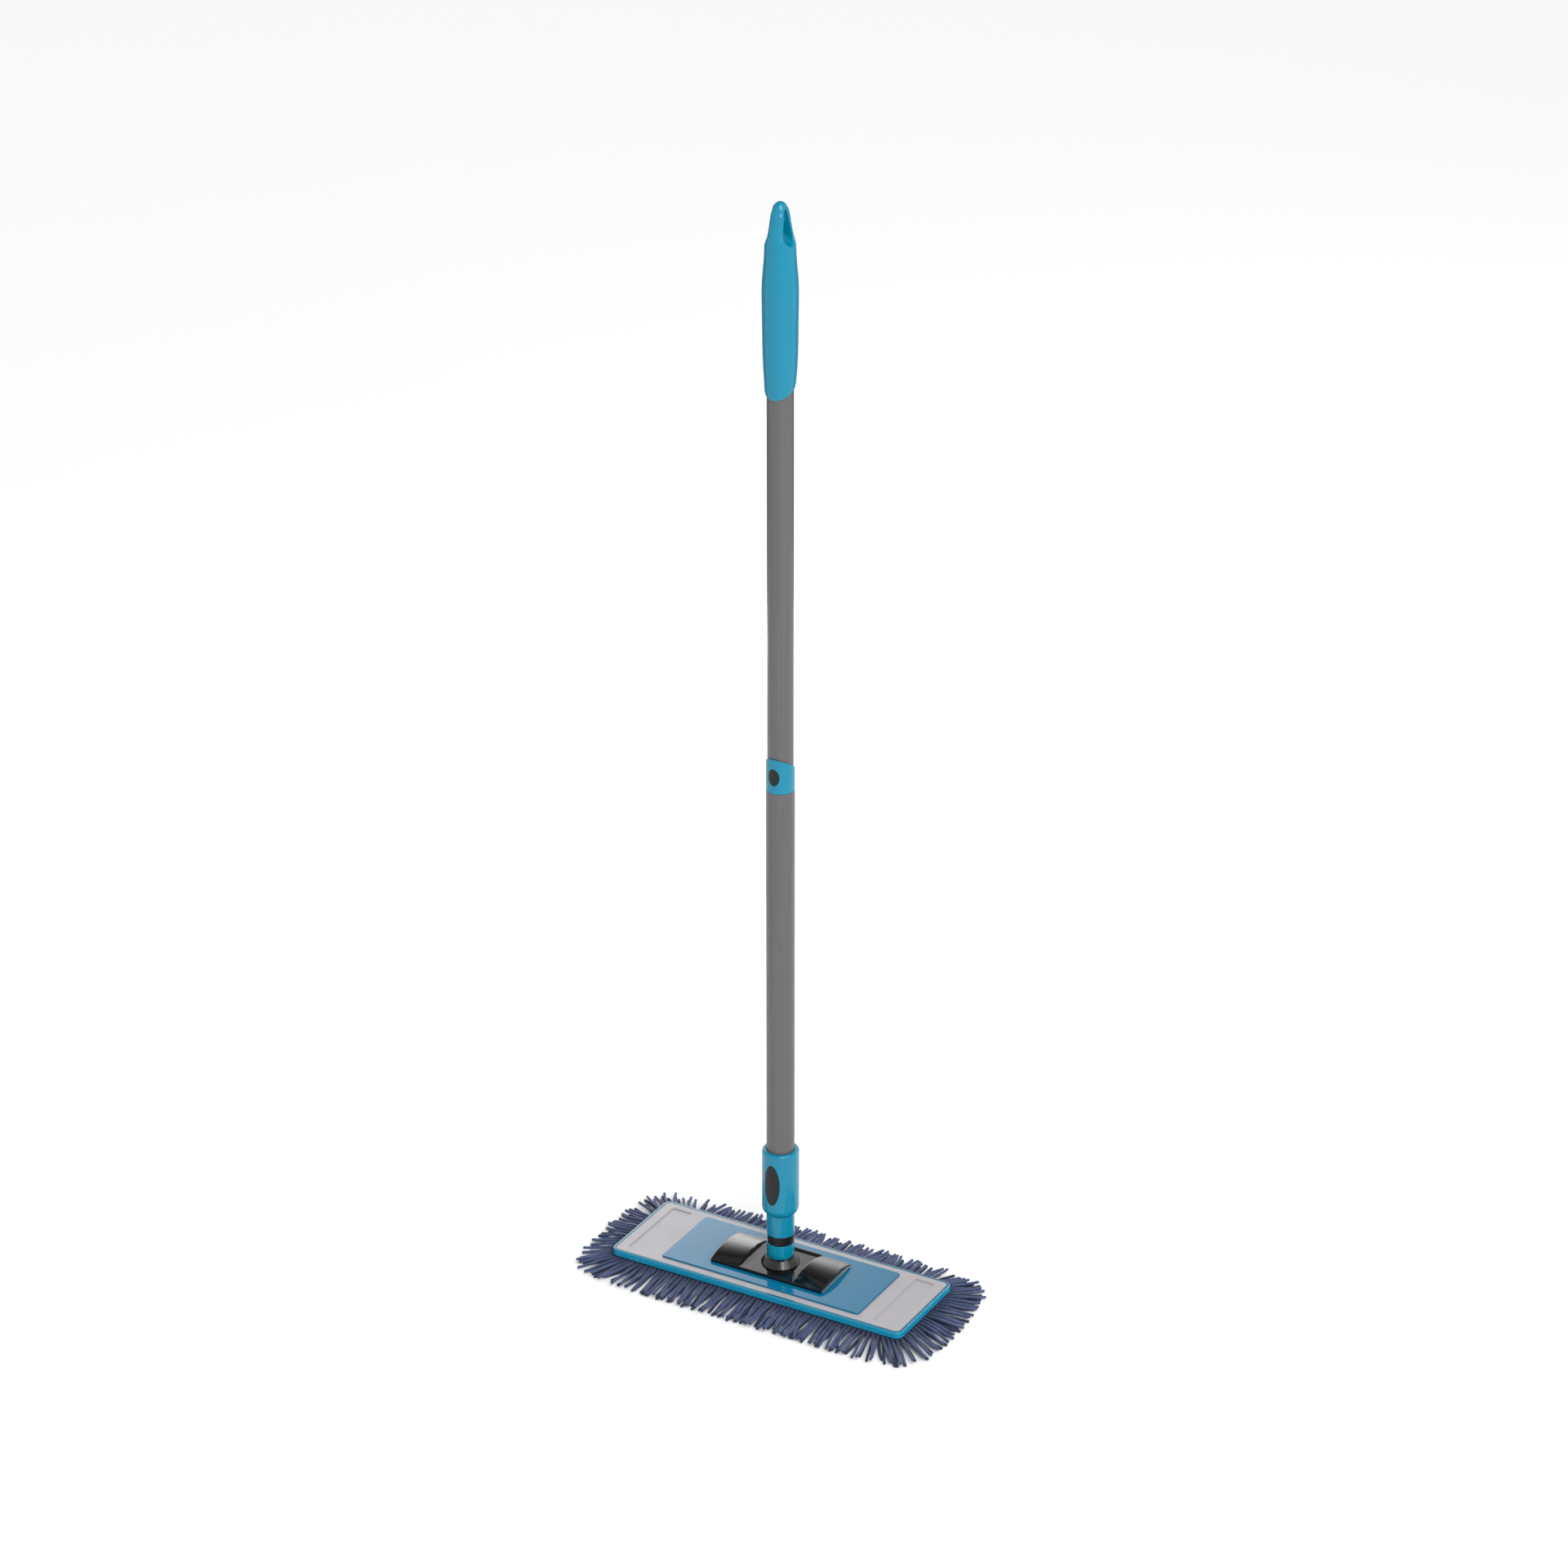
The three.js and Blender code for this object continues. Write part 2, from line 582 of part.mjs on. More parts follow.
// ---------------------------------------------------------------- grip
function hangingHole() {
  const { lowZ, lowRadius, highZ, highRadius } = HOLE;
  const lean = Math.asin((lowRadius - highRadius) / (highZ - lowZ));
  const shape = new THREE.Shape();
  shape.absarc(0, highZ, highRadius, lean, Math.PI - lean, false);
  shape.absarc(0, lowZ, lowRadius, Math.PI - lean, 2 * Math.PI + lean, false);
  const options = { depth: FAR, bevelEnabled: false, curveSegments: 12 };
  const geometry = new THREE.ExtrudeGeometry(shape, options);
  geometry.rotateX(Math.PI / 2).rotateZ(Math.PI / 2).translate(-FAR / 2, 0, 0);
  return solid(geometry);
}

function grip() {
  const curve = new THREE.SplineCurve(GRIP_PROFILE.map(([r, z]) => new THREE.Vector2(r, z)));
  const outline = curve.getPoints(GRIP_RINGS).map((point) => [Math.max(0, point.x), point.y]);
  outline.unshift([0, GRIP_PROFILE[0][1]]);
  const under = slantedBlock(GRIP_EDGE_MIDDLE, GRIP_SLOPE, -1);
  const bore = disc(UPPER_RADIUS + FIT, 0, GRIP_BORE_TOP);
  return cut(turned(outline), [under, bore, hangingHole()]);
}

// ---------------------------------------------------------------- assembly
const BLUE = () => finish(0x1496c4, 0.38);
const GREY_TUBE = () => finish(0x77777a, 0.45, 0.35);
const BLACK = () => finish(0x17171a, 0.25);
const STEEL = () => finish(0xa8abad, 0.3, 1);
const LIGHT_GREY = () => finish(0xbab4b6, 0.5);
const FIBRE = () => finish(0x474b6e, 0.95);

const pieces = [
  ["pad_pile", padPile(), FIBRE()],
  ["pad_backing", padBacking(), finish(0x3a3f5c, 0.95)],
  ["pad_fringe", padFringe(), FIBRE()],
  ["mop_frame", mopFrame(), BLUE()],
  ["hook_strip_front", hookStrip(-STRIP.y), finish(0x202022, 0.95)],
  ["hook_strip_rear", hookStrip(STRIP.y), finish(0x202022, 0.95)],
  ["top_cover", topCover(), LIGHT_GREY()],
  ["inset_panel", insetPanel(), finish(0x0a78b4, 0.12)],
  ["swivel_base", swivelBase(), finish(0x0e0e10, 0.12)],
  ["joint_cup", jointCup(), BLACK()],
  ["pivot_post", pivotPost(), BLACK()],
  ["swivel_yoke", swivelYoke(), BLACK()],
  ["yoke_pin", yokePin(), STEEL()],
  ["hood_pin_front", hoodPin(-1), STEEL()],
  ["hood_pin_rear", hoodPin(1), STEEL()],
  ["hood", hood(), BLUE()],
  ["neck_band", neckBand(), BLACK()],
  ["neck_screw", neckScrew(), STEEL()],
  ["socket", socket(), BLUE()],
  ["socket_lock_ring", lockRing(), BLACK()],
  ["socket_button", socketButton(), BLACK()],
  ["lower_tube", lowerTube(), GREY_TUBE()],
  ["collar", collar(), BLUE()],
  ["clamp_ring", clampRing(), STEEL()],
  ["collar_button", collarButton(), BLACK()],
  ["upper_tube", upperTube(), GREY_TUBE()],
  ["guide_bush", guideBush(), BLACK()],
  ["grip", grip(), BLUE()],
];
BASE_SCREWS.forEach(([x, y], index) => {
  pieces.push([`base_screw_${index + 1}`, screw(x, y, SCREW.baseTip), STEEL()]);
});
COVER_SCREWS.forEach(([x, y], index) => {
  pieces.push([`cover_screw_${index + 1}`, screw(x, y, SCREW.coverTip), STEEL()]);
});

const group = new THREE.Group();
pieces.forEach(([name, body, material]) => group.add(mesh(name, body, material)));

export default group;
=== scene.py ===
"""Looks of the flat mop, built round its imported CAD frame. Sizes are in millimetres until a mesh
is made, and the scene is in metres, +Z up, with the origin on the floor under the pole."""

import math
import random

import bmesh
import bpy
import numpy as np
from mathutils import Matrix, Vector


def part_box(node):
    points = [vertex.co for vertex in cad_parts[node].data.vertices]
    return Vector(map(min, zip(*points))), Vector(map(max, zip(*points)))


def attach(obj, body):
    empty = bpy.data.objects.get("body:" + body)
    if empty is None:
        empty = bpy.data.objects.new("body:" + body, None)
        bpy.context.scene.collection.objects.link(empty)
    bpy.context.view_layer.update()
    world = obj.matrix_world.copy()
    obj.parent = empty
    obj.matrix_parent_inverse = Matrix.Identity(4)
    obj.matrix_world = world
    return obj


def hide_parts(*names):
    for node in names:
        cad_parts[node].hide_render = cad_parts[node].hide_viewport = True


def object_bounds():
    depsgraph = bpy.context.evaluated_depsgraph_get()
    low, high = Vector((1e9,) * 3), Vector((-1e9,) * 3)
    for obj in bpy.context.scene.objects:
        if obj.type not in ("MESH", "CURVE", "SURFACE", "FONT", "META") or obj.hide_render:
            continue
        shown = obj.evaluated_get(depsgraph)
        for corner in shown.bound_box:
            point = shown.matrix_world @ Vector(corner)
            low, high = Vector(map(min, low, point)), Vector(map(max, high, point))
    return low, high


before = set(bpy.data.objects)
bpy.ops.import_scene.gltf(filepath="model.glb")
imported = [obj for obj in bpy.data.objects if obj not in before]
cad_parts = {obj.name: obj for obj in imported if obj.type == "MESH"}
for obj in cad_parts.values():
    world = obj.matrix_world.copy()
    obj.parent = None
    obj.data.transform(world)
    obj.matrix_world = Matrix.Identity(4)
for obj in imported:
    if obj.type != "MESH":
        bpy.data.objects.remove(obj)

cad_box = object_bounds()
scene = bpy.context.scene
MM = 0.001

# ---------- node trees
NOISE_LOW, NOISE_HIGH = 0.3, 0.7  # nearly all of a noise texture's values lie between these
MIX_FACTOR, MIX_A, MIX_B, MIX_RESULT = 0, 6, 7, 2  # sockets of a node that mixes colours


def set_ramp(node, stops):
    """Gives a colour ramp its (position, colour) stops. The first two move the ramp's own."""
    elements = node.color_ramp.elements
    for index, (position, colour) in enumerate(stops):
        stop = elements[index] if index < 2 else elements.new(position)
        stop.position = position
        stop.color = (*colour, 1)


def greys(levels):
    return [(position, (level, level, level)) for position, level in levels]


class Nodes:
    """A short way to write a material's node tree."""

    def __init__(self, name):
        self.material = bpy.data.materials.new(name)
        self.material.use_nodes = True
        self.tree = self.material.node_tree
        self.shader = self.tree.nodes["Principled BSDF"]
        self.place = self.tree.nodes.new("ShaderNodeTexCoord").outputs["Object"]

    def add(self, kind, **values):
        node = self.tree.nodes.new(kind)
        for key, value in values.items():
            setattr(node, key, value)
        return node

    def wire(self, source, node, socket):
        self.tree.links.new(source, node.inputs[socket])

    def noise(self, scale, detail=3, stretch=None):
        node = self.add("ShaderNodeTexNoise")
        node.inputs["Scale"].default_value = scale
        node.inputs["Detail"].default_value = detail
        source = self.place
        if stretch:
            mapping = self.add("ShaderNodeMapping")
            mapping.inputs["Scale"].default_value = stretch
            self.wire(source, mapping, "Vector")
            source = mapping.outputs[0]
        self.wire(source, node, "Vector")
        return node.outputs["Fac"]

    def between(self, source, low, high):
        """Spreads a noise texture over the values from low to high."""
        node = self.add("ShaderNodeMapRange")
        node.inputs["From Min"].default_value = NOISE_LOW
        node.inputs["From Max"].default_value = NOISE_HIGH
        node.inputs["To Min"].default_value = low
        node.inputs["To Max"].default_value = high
        self.wire(source, node, "Value")
        return node.outputs[0]

    def colours(self, source, *stops):
        node = self.add("ShaderNodeValToRGB")
        set_ramp(node, stops)
        self.wire(source, node, "Fac")
        return node.outputs[0]

    def mottled(self, source, dark, light):
        """Spreads a noise texture over two colours."""
        return self.colours(source, (NOISE_LOW, dark), (NOISE_HIGH, light))

    def bump(self, source, strength, distance):
        node = self.add("ShaderNodeBump")
        node.inputs["Strength"].default_value = strength
        node.inputs["Distance"].default_value = distance
        self.wire(source, node, "Height")
        self.wire(node.outputs[0], self.shader, "Normal")


# ---------- camera, light and floor
CAMERA_PLACE = (2.0807, -3.6465, 2.5437)
CAMERA_FORWARD = (-0.4473, 0.7854, -0.4280)
CAMERA_LENS = 110.8
CAMERA_SENSOR = 36
CAMERA_REACH = 100

AWAY = Vector((-0.495, 0.869, 0))  # from the camera
ACROSS = Vector((0.869, 0.495, 0))  # to its right
UP = Vector((0, 0, 1))

FLOOR_HALF = 30
FLOOR_DROP = 0.0002  # how far it lies below the pad
FLOOR_WHITE = 0.93

SUN_PLACE, SUN_DIRECTION = (1.7, -0.8, 2.4), (-0.557, 0.263, -0.788)
SUN_POWER = 1.75
SUN_ANGLE = 50  # degrees across, for soft shadows

# Each window: its place, what it points at, its size and its power.
WINDOWS = {
    "window": ((1.8, -1.8, 1.75), (0, 0, 0.1), (0.4, 0.5), 11),
    "back_window": ((1.1, 2.5, 1.65), (0, 0, 0.1), (0.5, 0.5), 14),
    "top_spot": ((1.0, -1.4, 3.0), (0, 0, 0.2), (0.4, 0.4), 11),
}

# The studio's grey levels, from the horizon (0) to overhead (1).
STUDIO_LEVELS = [(0.0, 1.0), (0.3, 0.96), (0.5, 0.8), (0.62, 0.55), (0.8, 0.4), (1.0, 0.35)]
STUDIO_STRENGTH = 0.98

# Each card: its distance behind the pole, its half width, and its lower and upper edge.
GLOW_CARD = (1.2, 1.1, 0, 1.8)
SHADE_CARD = (0.25, 0.7, 0.62, 1.4)
# The glow card's levels by share of its height. Its two end stops come first.
GLOW_LEVELS = [(0.0, 0.45), (1.0, 0.03), (0.1, 0.85), (0.2, 1.0), (0.3, 0.9), (0.4, 0.55)]
GLOW_LEVELS += [(0.5, 0.3), (0.62, 0.13), (0.8, 0.05)]
GLOW_LEFT, GLOW_RIGHT = 5.3, 2.1  # its strength on each side
GLOW_BLEND = 0.3  # how far from its middle the one has become the other
SHADE_GREY = 0.12


def link(obj):
    scene.collection.objects.link(obj)
    return obj


def aim(obj, place, direction):
    obj.location = place
    obj.rotation_mode = "QUATERNION"
    obj.rotation_quaternion = Vector(direction).to_track_quat("-Z", "Y")
    return obj


def make_camera():
    data = bpy.data.cameras.new("camera")
    data.lens = CAMERA_LENS
    data.sensor_width = CAMERA_SENSOR
    data.clip_end = CAMERA_REACH
    camera = link(bpy.data.objects.new("camera", data))
    scene.camera = aim(camera, CAMERA_PLACE, CAMERA_FORWARD)


def area_light(name, place, target, size, power):
    data = bpy.data.lights.new(name, "AREA")
    data.shape = "RECTANGLE"
    data.size, data.size_y = size
    data.energy = power
    aim(link(bpy.data.objects.new(name, data)), place, Vector(target) - Vector(place))


def make_world():
    """A studio that is bright round the horizon and dim overhead."""
    world = bpy.data.worlds.new("studio")
    scene.world = world
    world.use_nodes = True
    nodes, links = world.node_tree.nodes, world.node_tree.links
    place = nodes.new("ShaderNodeTexCoord")
    split = nodes.new("ShaderNodeSeparateXYZ")
    ramp = nodes.new("ShaderNodeValToRGB")
    background = nodes["Background"]
    set_ramp(ramp, greys(STUDIO_LEVELS))
    links.new(place.outputs["Generated"], split.inputs[0])
    links.new(split.outputs["Z"], ramp.inputs[0])
    links.new(ramp.outputs[0], background.inputs["Color"])
    background.inputs["Strength"].default_value = STUDIO_STRENGTH


def stage_quad(name, corners):
    """A stage piece with four corners, and the nodes of its material."""
    n = Nodes(name)
    mesh = bpy.data.meshes.new(name)
    mesh.from_pydata(corners, [], [(0, 1, 2, 3)])
    mesh.materials.append(n.material)
    return link(bpy.data.objects.new(name, mesh)), n


def make_floor():
    h = FLOOR_HALF
    floor, n = stage_quad("floor", [(-h, -h, 0), (h, -h, 0), (h, h, 0), (-h, h, 0)])
    floor.location.z = cad_box[0].z - FLOOR_DROP
    n.shader.inputs["Base Color"].default_value = (FLOOR_WHITE, FLOOR_WHITE, FLOOR_WHITE, 1)
    n.shader.inputs["Roughness"].default_value = 0.9
    n.shader.inputs["Specular IOR Level"].default_value = 0.1


def make_sun():
    data = bpy.data.lights.new("soft_sun", "SUN")
    data.energy = SUN_POWER
    data.angle = math.radians(SUN_ANGLE)
    aim(link(bpy.data.objects.new("soft_sun", data)), SUN_PLACE, SUN_DIRECTION)


def upright_card(name, distance, half_width, low, high):
    """A card behind the mop that only its glossy plastic sees, and the card's nodes."""
    foot = AWAY * distance
    corners = [foot + ACROSS * side + UP * low for side in (-half_width, half_width)]
    corners += [point + UP * (high - low) for point in reversed(corners)]
    card, n = stage_quad(name, corners)
    card.visible_camera = card.visible_shadow = False
    card.visible_diffuse = card.visible_transmission = False
    return card, n


def make_glow_card():
    """It lights the head's glossy plastic, more from the left than from the right."""
    card, n = upright_card("glow_card", *GLOW_CARD)
    split = n.add("ShaderNodeSeparateXYZ")
    n.wire(n.place, split, 0)
    share = n.add("ShaderNodeMath", operation="DIVIDE")
    share.inputs[1].default_value = GLOW_CARD[3]
    n.wire(split.outputs["Z"], share, 0)
    along = n.add("ShaderNodeVectorMath", operation="DOT_PRODUCT")
    along.inputs[1].default_value = ACROSS
    n.wire(n.place, along, 0)
    side = n.add("ShaderNodeMapRange", interpolation_type="SMOOTHSTEP")
    side.inputs["From Min"].default_value = -GLOW_BLEND
    side.inputs["From Max"].default_value = GLOW_BLEND
    side.inputs["To Min"].default_value = GLOW_LEFT
    side.inputs["To Max"].default_value = GLOW_RIGHT
    n.wire(along.outputs["Value"], side, "Value")
    glow = n.add("ShaderNodeEmission")
    n.wire(n.colours(share.outputs[0], *greys(GLOW_LEVELS)), glow, "Color")
    n.wire(side.outputs[0], glow, "Strength")
    n.wire(glow.outputs[0], n.tree.nodes["Material Output"], "Surface")
    n.tree.nodes.remove(n.shader)


def make_shade_card():
    """It darkens the edges of the pole's glossy plastic."""
    card, n = upright_card("shade_card", *SHADE_CARD)
    n.shader.inputs["Base Color"].default_value = (SHADE_GREY, SHADE_GREY, SHADE_GREY, 1)


def make_stage():
    make_camera()
    make_world()
    make_floor()
    make_sun()
    make_glow_card()
    make_shade_card()
    for name, (place, target, size, power) in WINDOWS.items():
        area_light(name, place, target, size, power)
    scene.view_settings.view_transform = "Standard"


# ---------- materials
def tinted(colour, factor):
    return tuple(min(1, max(0, channel * factor)) for channel in colour)


def moulded(name, colour, roughness, spread=0.04, grain=0.03, ior=1.5):
    """Injection-moulded plastic: slight clouding, uneven gloss and a fine spark-eroded grain."""
    n = Nodes(name)
    cloud = n.mottled(n.noise(scale=9, detail=4), tinted(colour, 0.96), tinted(colour, 1.04))
    n.wire(cloud, n.shader, "Base Color")
    gloss = n.between(n.noise(scale=60, detail=5), roughness - spread, roughness + spread)
    n.wire(gloss, n.shader, "Roughness")
    n.bump(n.noise(scale=1600, detail=2), strength=grain, distance=0.0001)
    n.shader.inputs["IOR"].default_value = ior
    return n.material


def drawn_tube(name, colour):
    """Painted metal tube with the faint lengthwise lines of its drawing."""
    n = Nodes(name)
    lines = n.noise(scale=420, stretch=(1, 1, 0.012))
    streaks = n.mottled(lines, tinted(colour, 0.93), tinted(colour, 1.06))
    n.wire(streaks, n.shader, "Base Color")
    n.wire(n.between(n.noise(scale=35, detail=4), 0.36, 0.46), n.shader, "Roughness")
    n.bump(lines, strength=0.04, distance=0.0001)
    n.shader.inputs["Metallic"].default_value = 0.35
    return n.material


def steel(name, dark, light):
    """Bright zinc plate, blotched and unevenly polished."""
    n = Nodes(name)
    n.wire(n.mottled(n.noise(scale=180), dark, light), n.shader, "Base Color")
    n.wire(n.between(n.noise(scale=300), 0.22, 0.38), n.shader, "Roughness")
    n.shader.inputs["Metallic"].default_value = 1
    return n.material


def fibre(name, dark, light):
    """Split microfibre yarn: mottled, matt and downy, with painted shade where its depth attribute
    says so.
    """
    n = Nodes(name)
    mottle = n.colours(n.noise(scale=90, detail=5), (0.32, dark), (0.68, light))
    # Painted shade: the depth attribute mixes the yarn towards a near-black copy of its dark
    # colour.
    depth = n.add("ShaderNodeAttribute", attribute_name="depth")
    painted_shade_mix = n.add("ShaderNodeMix", data_type="RGBA")
    n.wire(depth.outputs["Fac"], painted_shade_mix, MIX_FACTOR)
    n.wire(mottle, painted_shade_mix, MIX_A)
    painted_shade_mix.inputs[MIX_B].default_value = (*tinted(dark, 0.2), 1)
    n.wire(painted_shade_mix.outputs[MIX_RESULT], n.shader, "Base Color")
    n.wire(n.between(n.noise(scale=700), 0.82, 0.98), n.shader, "Roughness")
    n.bump(n.noise(scale=3200, detail=4), strength=0.25, distance=0.0003)
    n.shader.inputs["Specular IOR Level"].default_value = 0.2
    n.shader.inputs["Sheen Weight"].default_value = 0.35
    n.shader.inputs["Sheen Roughness"].default_value = 0.4
    n.shader.inputs["Sheen Tint"].default_value = (0.62, 0.66, 0.9, 1)
    return n.material


def woven(name, dark, light, threads):
    """A plain weave: two crossed sets of threads."""
    n = Nodes(name)
    waves = []
    for direction in ("X", "Y"):
        wave = n.add("ShaderNodeTexWave", bands_direction=direction)
        wave.inputs["Scale"].default_value = threads
        wave.inputs["Distortion"].default_value = 0.4
        n.wire(n.place, wave, "Vector")
        waves.append(wave.outputs["Fac"])
    cross = n.add("ShaderNodeMath", operation="MULTIPLY")
    n.wire(waves[0], cross, 0)
    n.wire(waves[1], cross, 1)
    n.wire(n.colours(cross.outputs[0], (0.1, dark), (0.9, light)), n.shader, "Base Color")
    n.shader.inputs["Roughness"].default_value = 0.92
    n.bump(cross.outputs[0], strength=0.5, distance=0.0003)
    return n.material


BLUE = moulded("blue_satin", (0.0, 0.205, 0.325), roughness=0.14, ior=1.45)
RIM_BLUE = moulded("blue_rim", (0.008, 0.245, 0.41), roughness=0.1, spread=0.03, grain=0.02)
# A darker copy of the rim's blue for the lip's upward faces: painted shade, under a glossier
# finish.
SHADED_LIP_BLUE = moulded("blue_lip_painted_shade", (0.01, 0.11, 0.17), roughness=0.06, spread=0.02, grain=0.01)
PANEL_BLUE = moulded("blue_mirror", (0.0, 0.13, 0.25), roughness=0.035, spread=0.015, grain=0.006)
LIGHT_GREY = moulded("grey_cover", (0.33, 0.318, 0.335), roughness=0.42, spread=0.05, grain=0.06)
GLOSS_BLACK = moulded(
    "black_mirror", (0.003, 0.003, 0.0035), roughness=0.06, spread=0.02, grain=0.006
)
BLACK = moulded(
    "black_satin", (0.006, 0.005, 0.0055), roughness=0.3, spread=0.05, grain=0.05, ior=1.42
)
CUP_BLACK = moulded("black_cup", (0.010, 0.009, 0.010), roughness=0.27, spread=0.03, grain=0.02)
TUBE_GREY = drawn_tube("tube_grey", (0.12, 0.12, 0.122))
STEEL = steel("zinc_steel", (0.42, 0.43, 0.44), (0.55, 0.56, 0.57))
YARN = fibre("yarn_slate", (0.045, 0.063, 0.13), (0.072, 0.096, 0.185))
CLOTH = woven("cloth_navy", (0.018, 0.024, 0.06), (0.045, 0.058, 0.12), threads=190)
HOOKS = woven("hook_tape", (0.006, 0.006, 0.007), (0.03, 0.03, 0.033), threads=320)


# ---------- mesh helpers
TINY = 1e-6  # lengths below this count as none
SHARPEST = 0.01  # the smallest radius of a rounded corner
EDGE_SHARE = 0.48  # how much of an edge the rounding of one of its corners may take
QUARTER = math.pi / 2
GAP = 0.3  # between pieces that meet


class Span:
    """A CAD node's box in millimetres."""

    def __init__(self, node):
        low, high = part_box(node)
        self.x0, self.y0, self.z0 = (v / MM for v in low)
        self.x1, self.y1, self.z1 = (v / MM for v in high)


def tidy(mesh, merge=0.002):
    """Joins the seams of a mesh in millimetres, points its faces outwards and makes it metres."""
    bm = bmesh.new()
    bm.from_mesh(mesh)
    bmesh.ops.remove_doubles(bm, verts=bm.verts, dist=merge)
    bmesh.ops.dissolve_degenerate(bm, edges=bm.edges, dist=merge / 4)
    bmesh.ops.recalc_face_normals(bm, faces=bm.faces)
    bmesh.ops.scale(bm, verts=bm.verts, vec=(MM, MM, MM))
    bm.to_mesh(mesh)
    bm.free()


def bare(name, verts, faces):
    """An object made of vertices in millimetres and faces."""
    mesh = bpy.data.meshes.new(name)
    mesh.from_pydata([tuple(map(float, v)) for v in verts], [], faces)
    tidy(mesh)
    return link(bpy.data.objects.new(name, mesh))


def applied(obj):
    """Bakes an object's modifiers into its mesh."""
    graph = bpy.context.evaluated_depsgraph_get()
    mesh = bpy.data.meshes.new_from_object(obj.evaluated_get(graph))
    obj.modifiers.clear()
    obj.data = mesh
    return obj


def carve(obj, *tools):
    """Cuts the tools out of an object and removes them."""
    for tool in tools:
        cutter = obj.modifiers.new("cut", "BOOLEAN")
        cutter.operation = "DIFFERENCE"
        cutter.solver = "EXACT"
        cutter.object = tool
    applied(obj)
    for tool in tools:
        bpy.data.objects.remove(tool)
    return obj


def soften(obj, width, segments=3, angle=40):
    """Rounds the edges that are sharper than an angle in degrees."""
    bevel = obj.modifiers.new("bevel", "BEVEL")
    bevel.width = width * MM
    bevel.segments = segments
    bevel.limit_method = "ANGLE"
    bevel.angle_limit = math.radians(angle)
    return applied(obj)


def dress(obj, material, body, slot, *nodes, weighted=True):
    """Gives a finished piece its material and body, and hides the CAD nodes that it stands for.
    Its slot is not used.
    """
    obj.data.materials.clear()
    obj.data.materials.append(material)
    for polygon in obj.data.polygons:
        polygon.use_smooth = True
        polygon.material_index = 0
    if weighted:
        normals = obj.modifiers.new("normals", "WEIGHTED_NORMAL")
        normals.keep_sharp = True
    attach(obj, body)
    if nodes:
        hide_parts(*nodes)
    return obj


def bridge(loops, closed=False):
    """Quads between neighbouring loops of vertex numbers. A loop of one number is a pole."""
    faces = []
    pairs = list(zip(loops, loops[1:] + loops[:1])) if closed else list(zip(loops, loops[1:]))
    for low, high in pairs:
        count = max(len(low), len(high))
        for k in range(count):
            n = (k + 1) % count
            if len(low) == 1:
                faces.append((low[0], high[n], high[k]))
            elif len(high) == 1:
                faces.append((low[k], low[n], high[0]))
            else:
                faces.append((low[k], low[n], high[n], high[k]))
    return faces


def rounded(outline, radius, steps=5):
    """A closed outline of [radius, height, weight] points with its corners rounded."""
    points = [np.array([*p, 0.0][:3], float) for p in outline]
    count = len(points)
    made = []
    for i, corner in enumerate(points):
        size = radius[i] if isinstance(radius, (list, tuple)) else radius
        before, after = points[i - 1], points[(i + 1) % count]
        a, b = (before - corner)[:2], (after - corner)[:2]
        la, lb = np.linalg.norm(a), np.linalg.norm(b)
        if corner[0] < TINY or size <= 0 or la < TINY or lb < TINY:
            made.append(corner)
            continue
        a, b = a / la, b / lb
        half = math.acos(max(-1, min(1, float(a @ b)))) / 2
        reach = min(size / math.tan(half), la * EDGE_SHARE, lb * EDGE_SHARE)
        bend = reach * math.tan(half)
        axis = (a + b) / max(np.linalg.norm(a + b), TINY)
        centre = corner[:2] + axis * bend / math.sin(half)
        start, end = corner[:2] + a * reach - centre, corner[:2] + b * reach - centre
        sweep = math.acos(max(-1, min(1, float(start @ end) / bend**2)))
        for step in range(steps + 1):
            t = step / steps
            k0 = math.sin((1 - t) * sweep) / math.sin(sweep)
            k1 = math.sin(t * sweep) / math.sin(sweep)
            made.append(np.array([*(centre + start * k0 + end * k1), corner[2]]))
    return made


def ring(verts, radius, z, sides, weight=0.0, slope=0.0, x_scale=1.0):
    """Adds a ring of vertices round Z, or one vertex on it, and returns their numbers."""
    if radius < TINY:
        verts.append((0, 0, z))
        return [len(verts) - 1]
    first = len(verts)
    for k in range(sides):
        angle = 2 * math.pi * k / sides
        x, y = radius * math.cos(angle), radius * math.sin(angle)
        verts.append((x * x_scale, y, z + weight * slope * y))
    return list(range(first, first + sides))


def lathe(name, outline, sides=96, slope=0.0, closed=True):
    """Turns an outline of [radius, height, weight] about Z. A weight of 1 follows the slope."""
    verts = []
    loops = [ring(verts, r, z, sides, w, slope) for r, z, w in outline]
    return bare(name, verts, bridge(loops, closed and len(loops[0]) > 1))


def quarter_turn(steps):
    """Shares of a radius over a quarter turn: the first falls from 1 to 0, the other rises."""
    angles = [QUARTER * k / steps for k in range(steps + 1)]
    return [(1 - math.sin(a), 1 - math.cos(a)) for a in angles]


def rectangle(half_x, half_y, corner, steps=8):
    """The outline of a rounded rectangle, anticlockwise from its back right corner."""
    points = []
    corner = max(corner, SHARPEST)
    places = [(1, 1), (-1, 1), (-1, -1), (1, -1)]
    for quarter, (sx, sy) in enumerate(places):
        cx, cy = sx * (half_x - corner), sy * (half_y - corner)
        for step in range(steps + 1):
            angle = QUARTER * (quarter + step / steps)
            points.append((cx + corner * math.cos(angle), cy + corner * math.sin(angle)))
    return points


def stacked(name, levels, size, middle=(0, 0)):
    """A solid of rounded rectangles: each level is (inset, height), and both ends are capped."""
    half_x, half_y, corner = size
    verts, loops = [], []
    for inset, z in levels:
        outline = rectangle(half_x - inset, half_y - inset, corner - inset)
        loops.append(list(range(len(verts), len(verts) + len(outline))))
        verts += [(x + middle[0], y + middle[1], z) for x, y in outline]
    return bare(name, verts, bridge(loops) + [loops[0][::-1], loops[-1]])


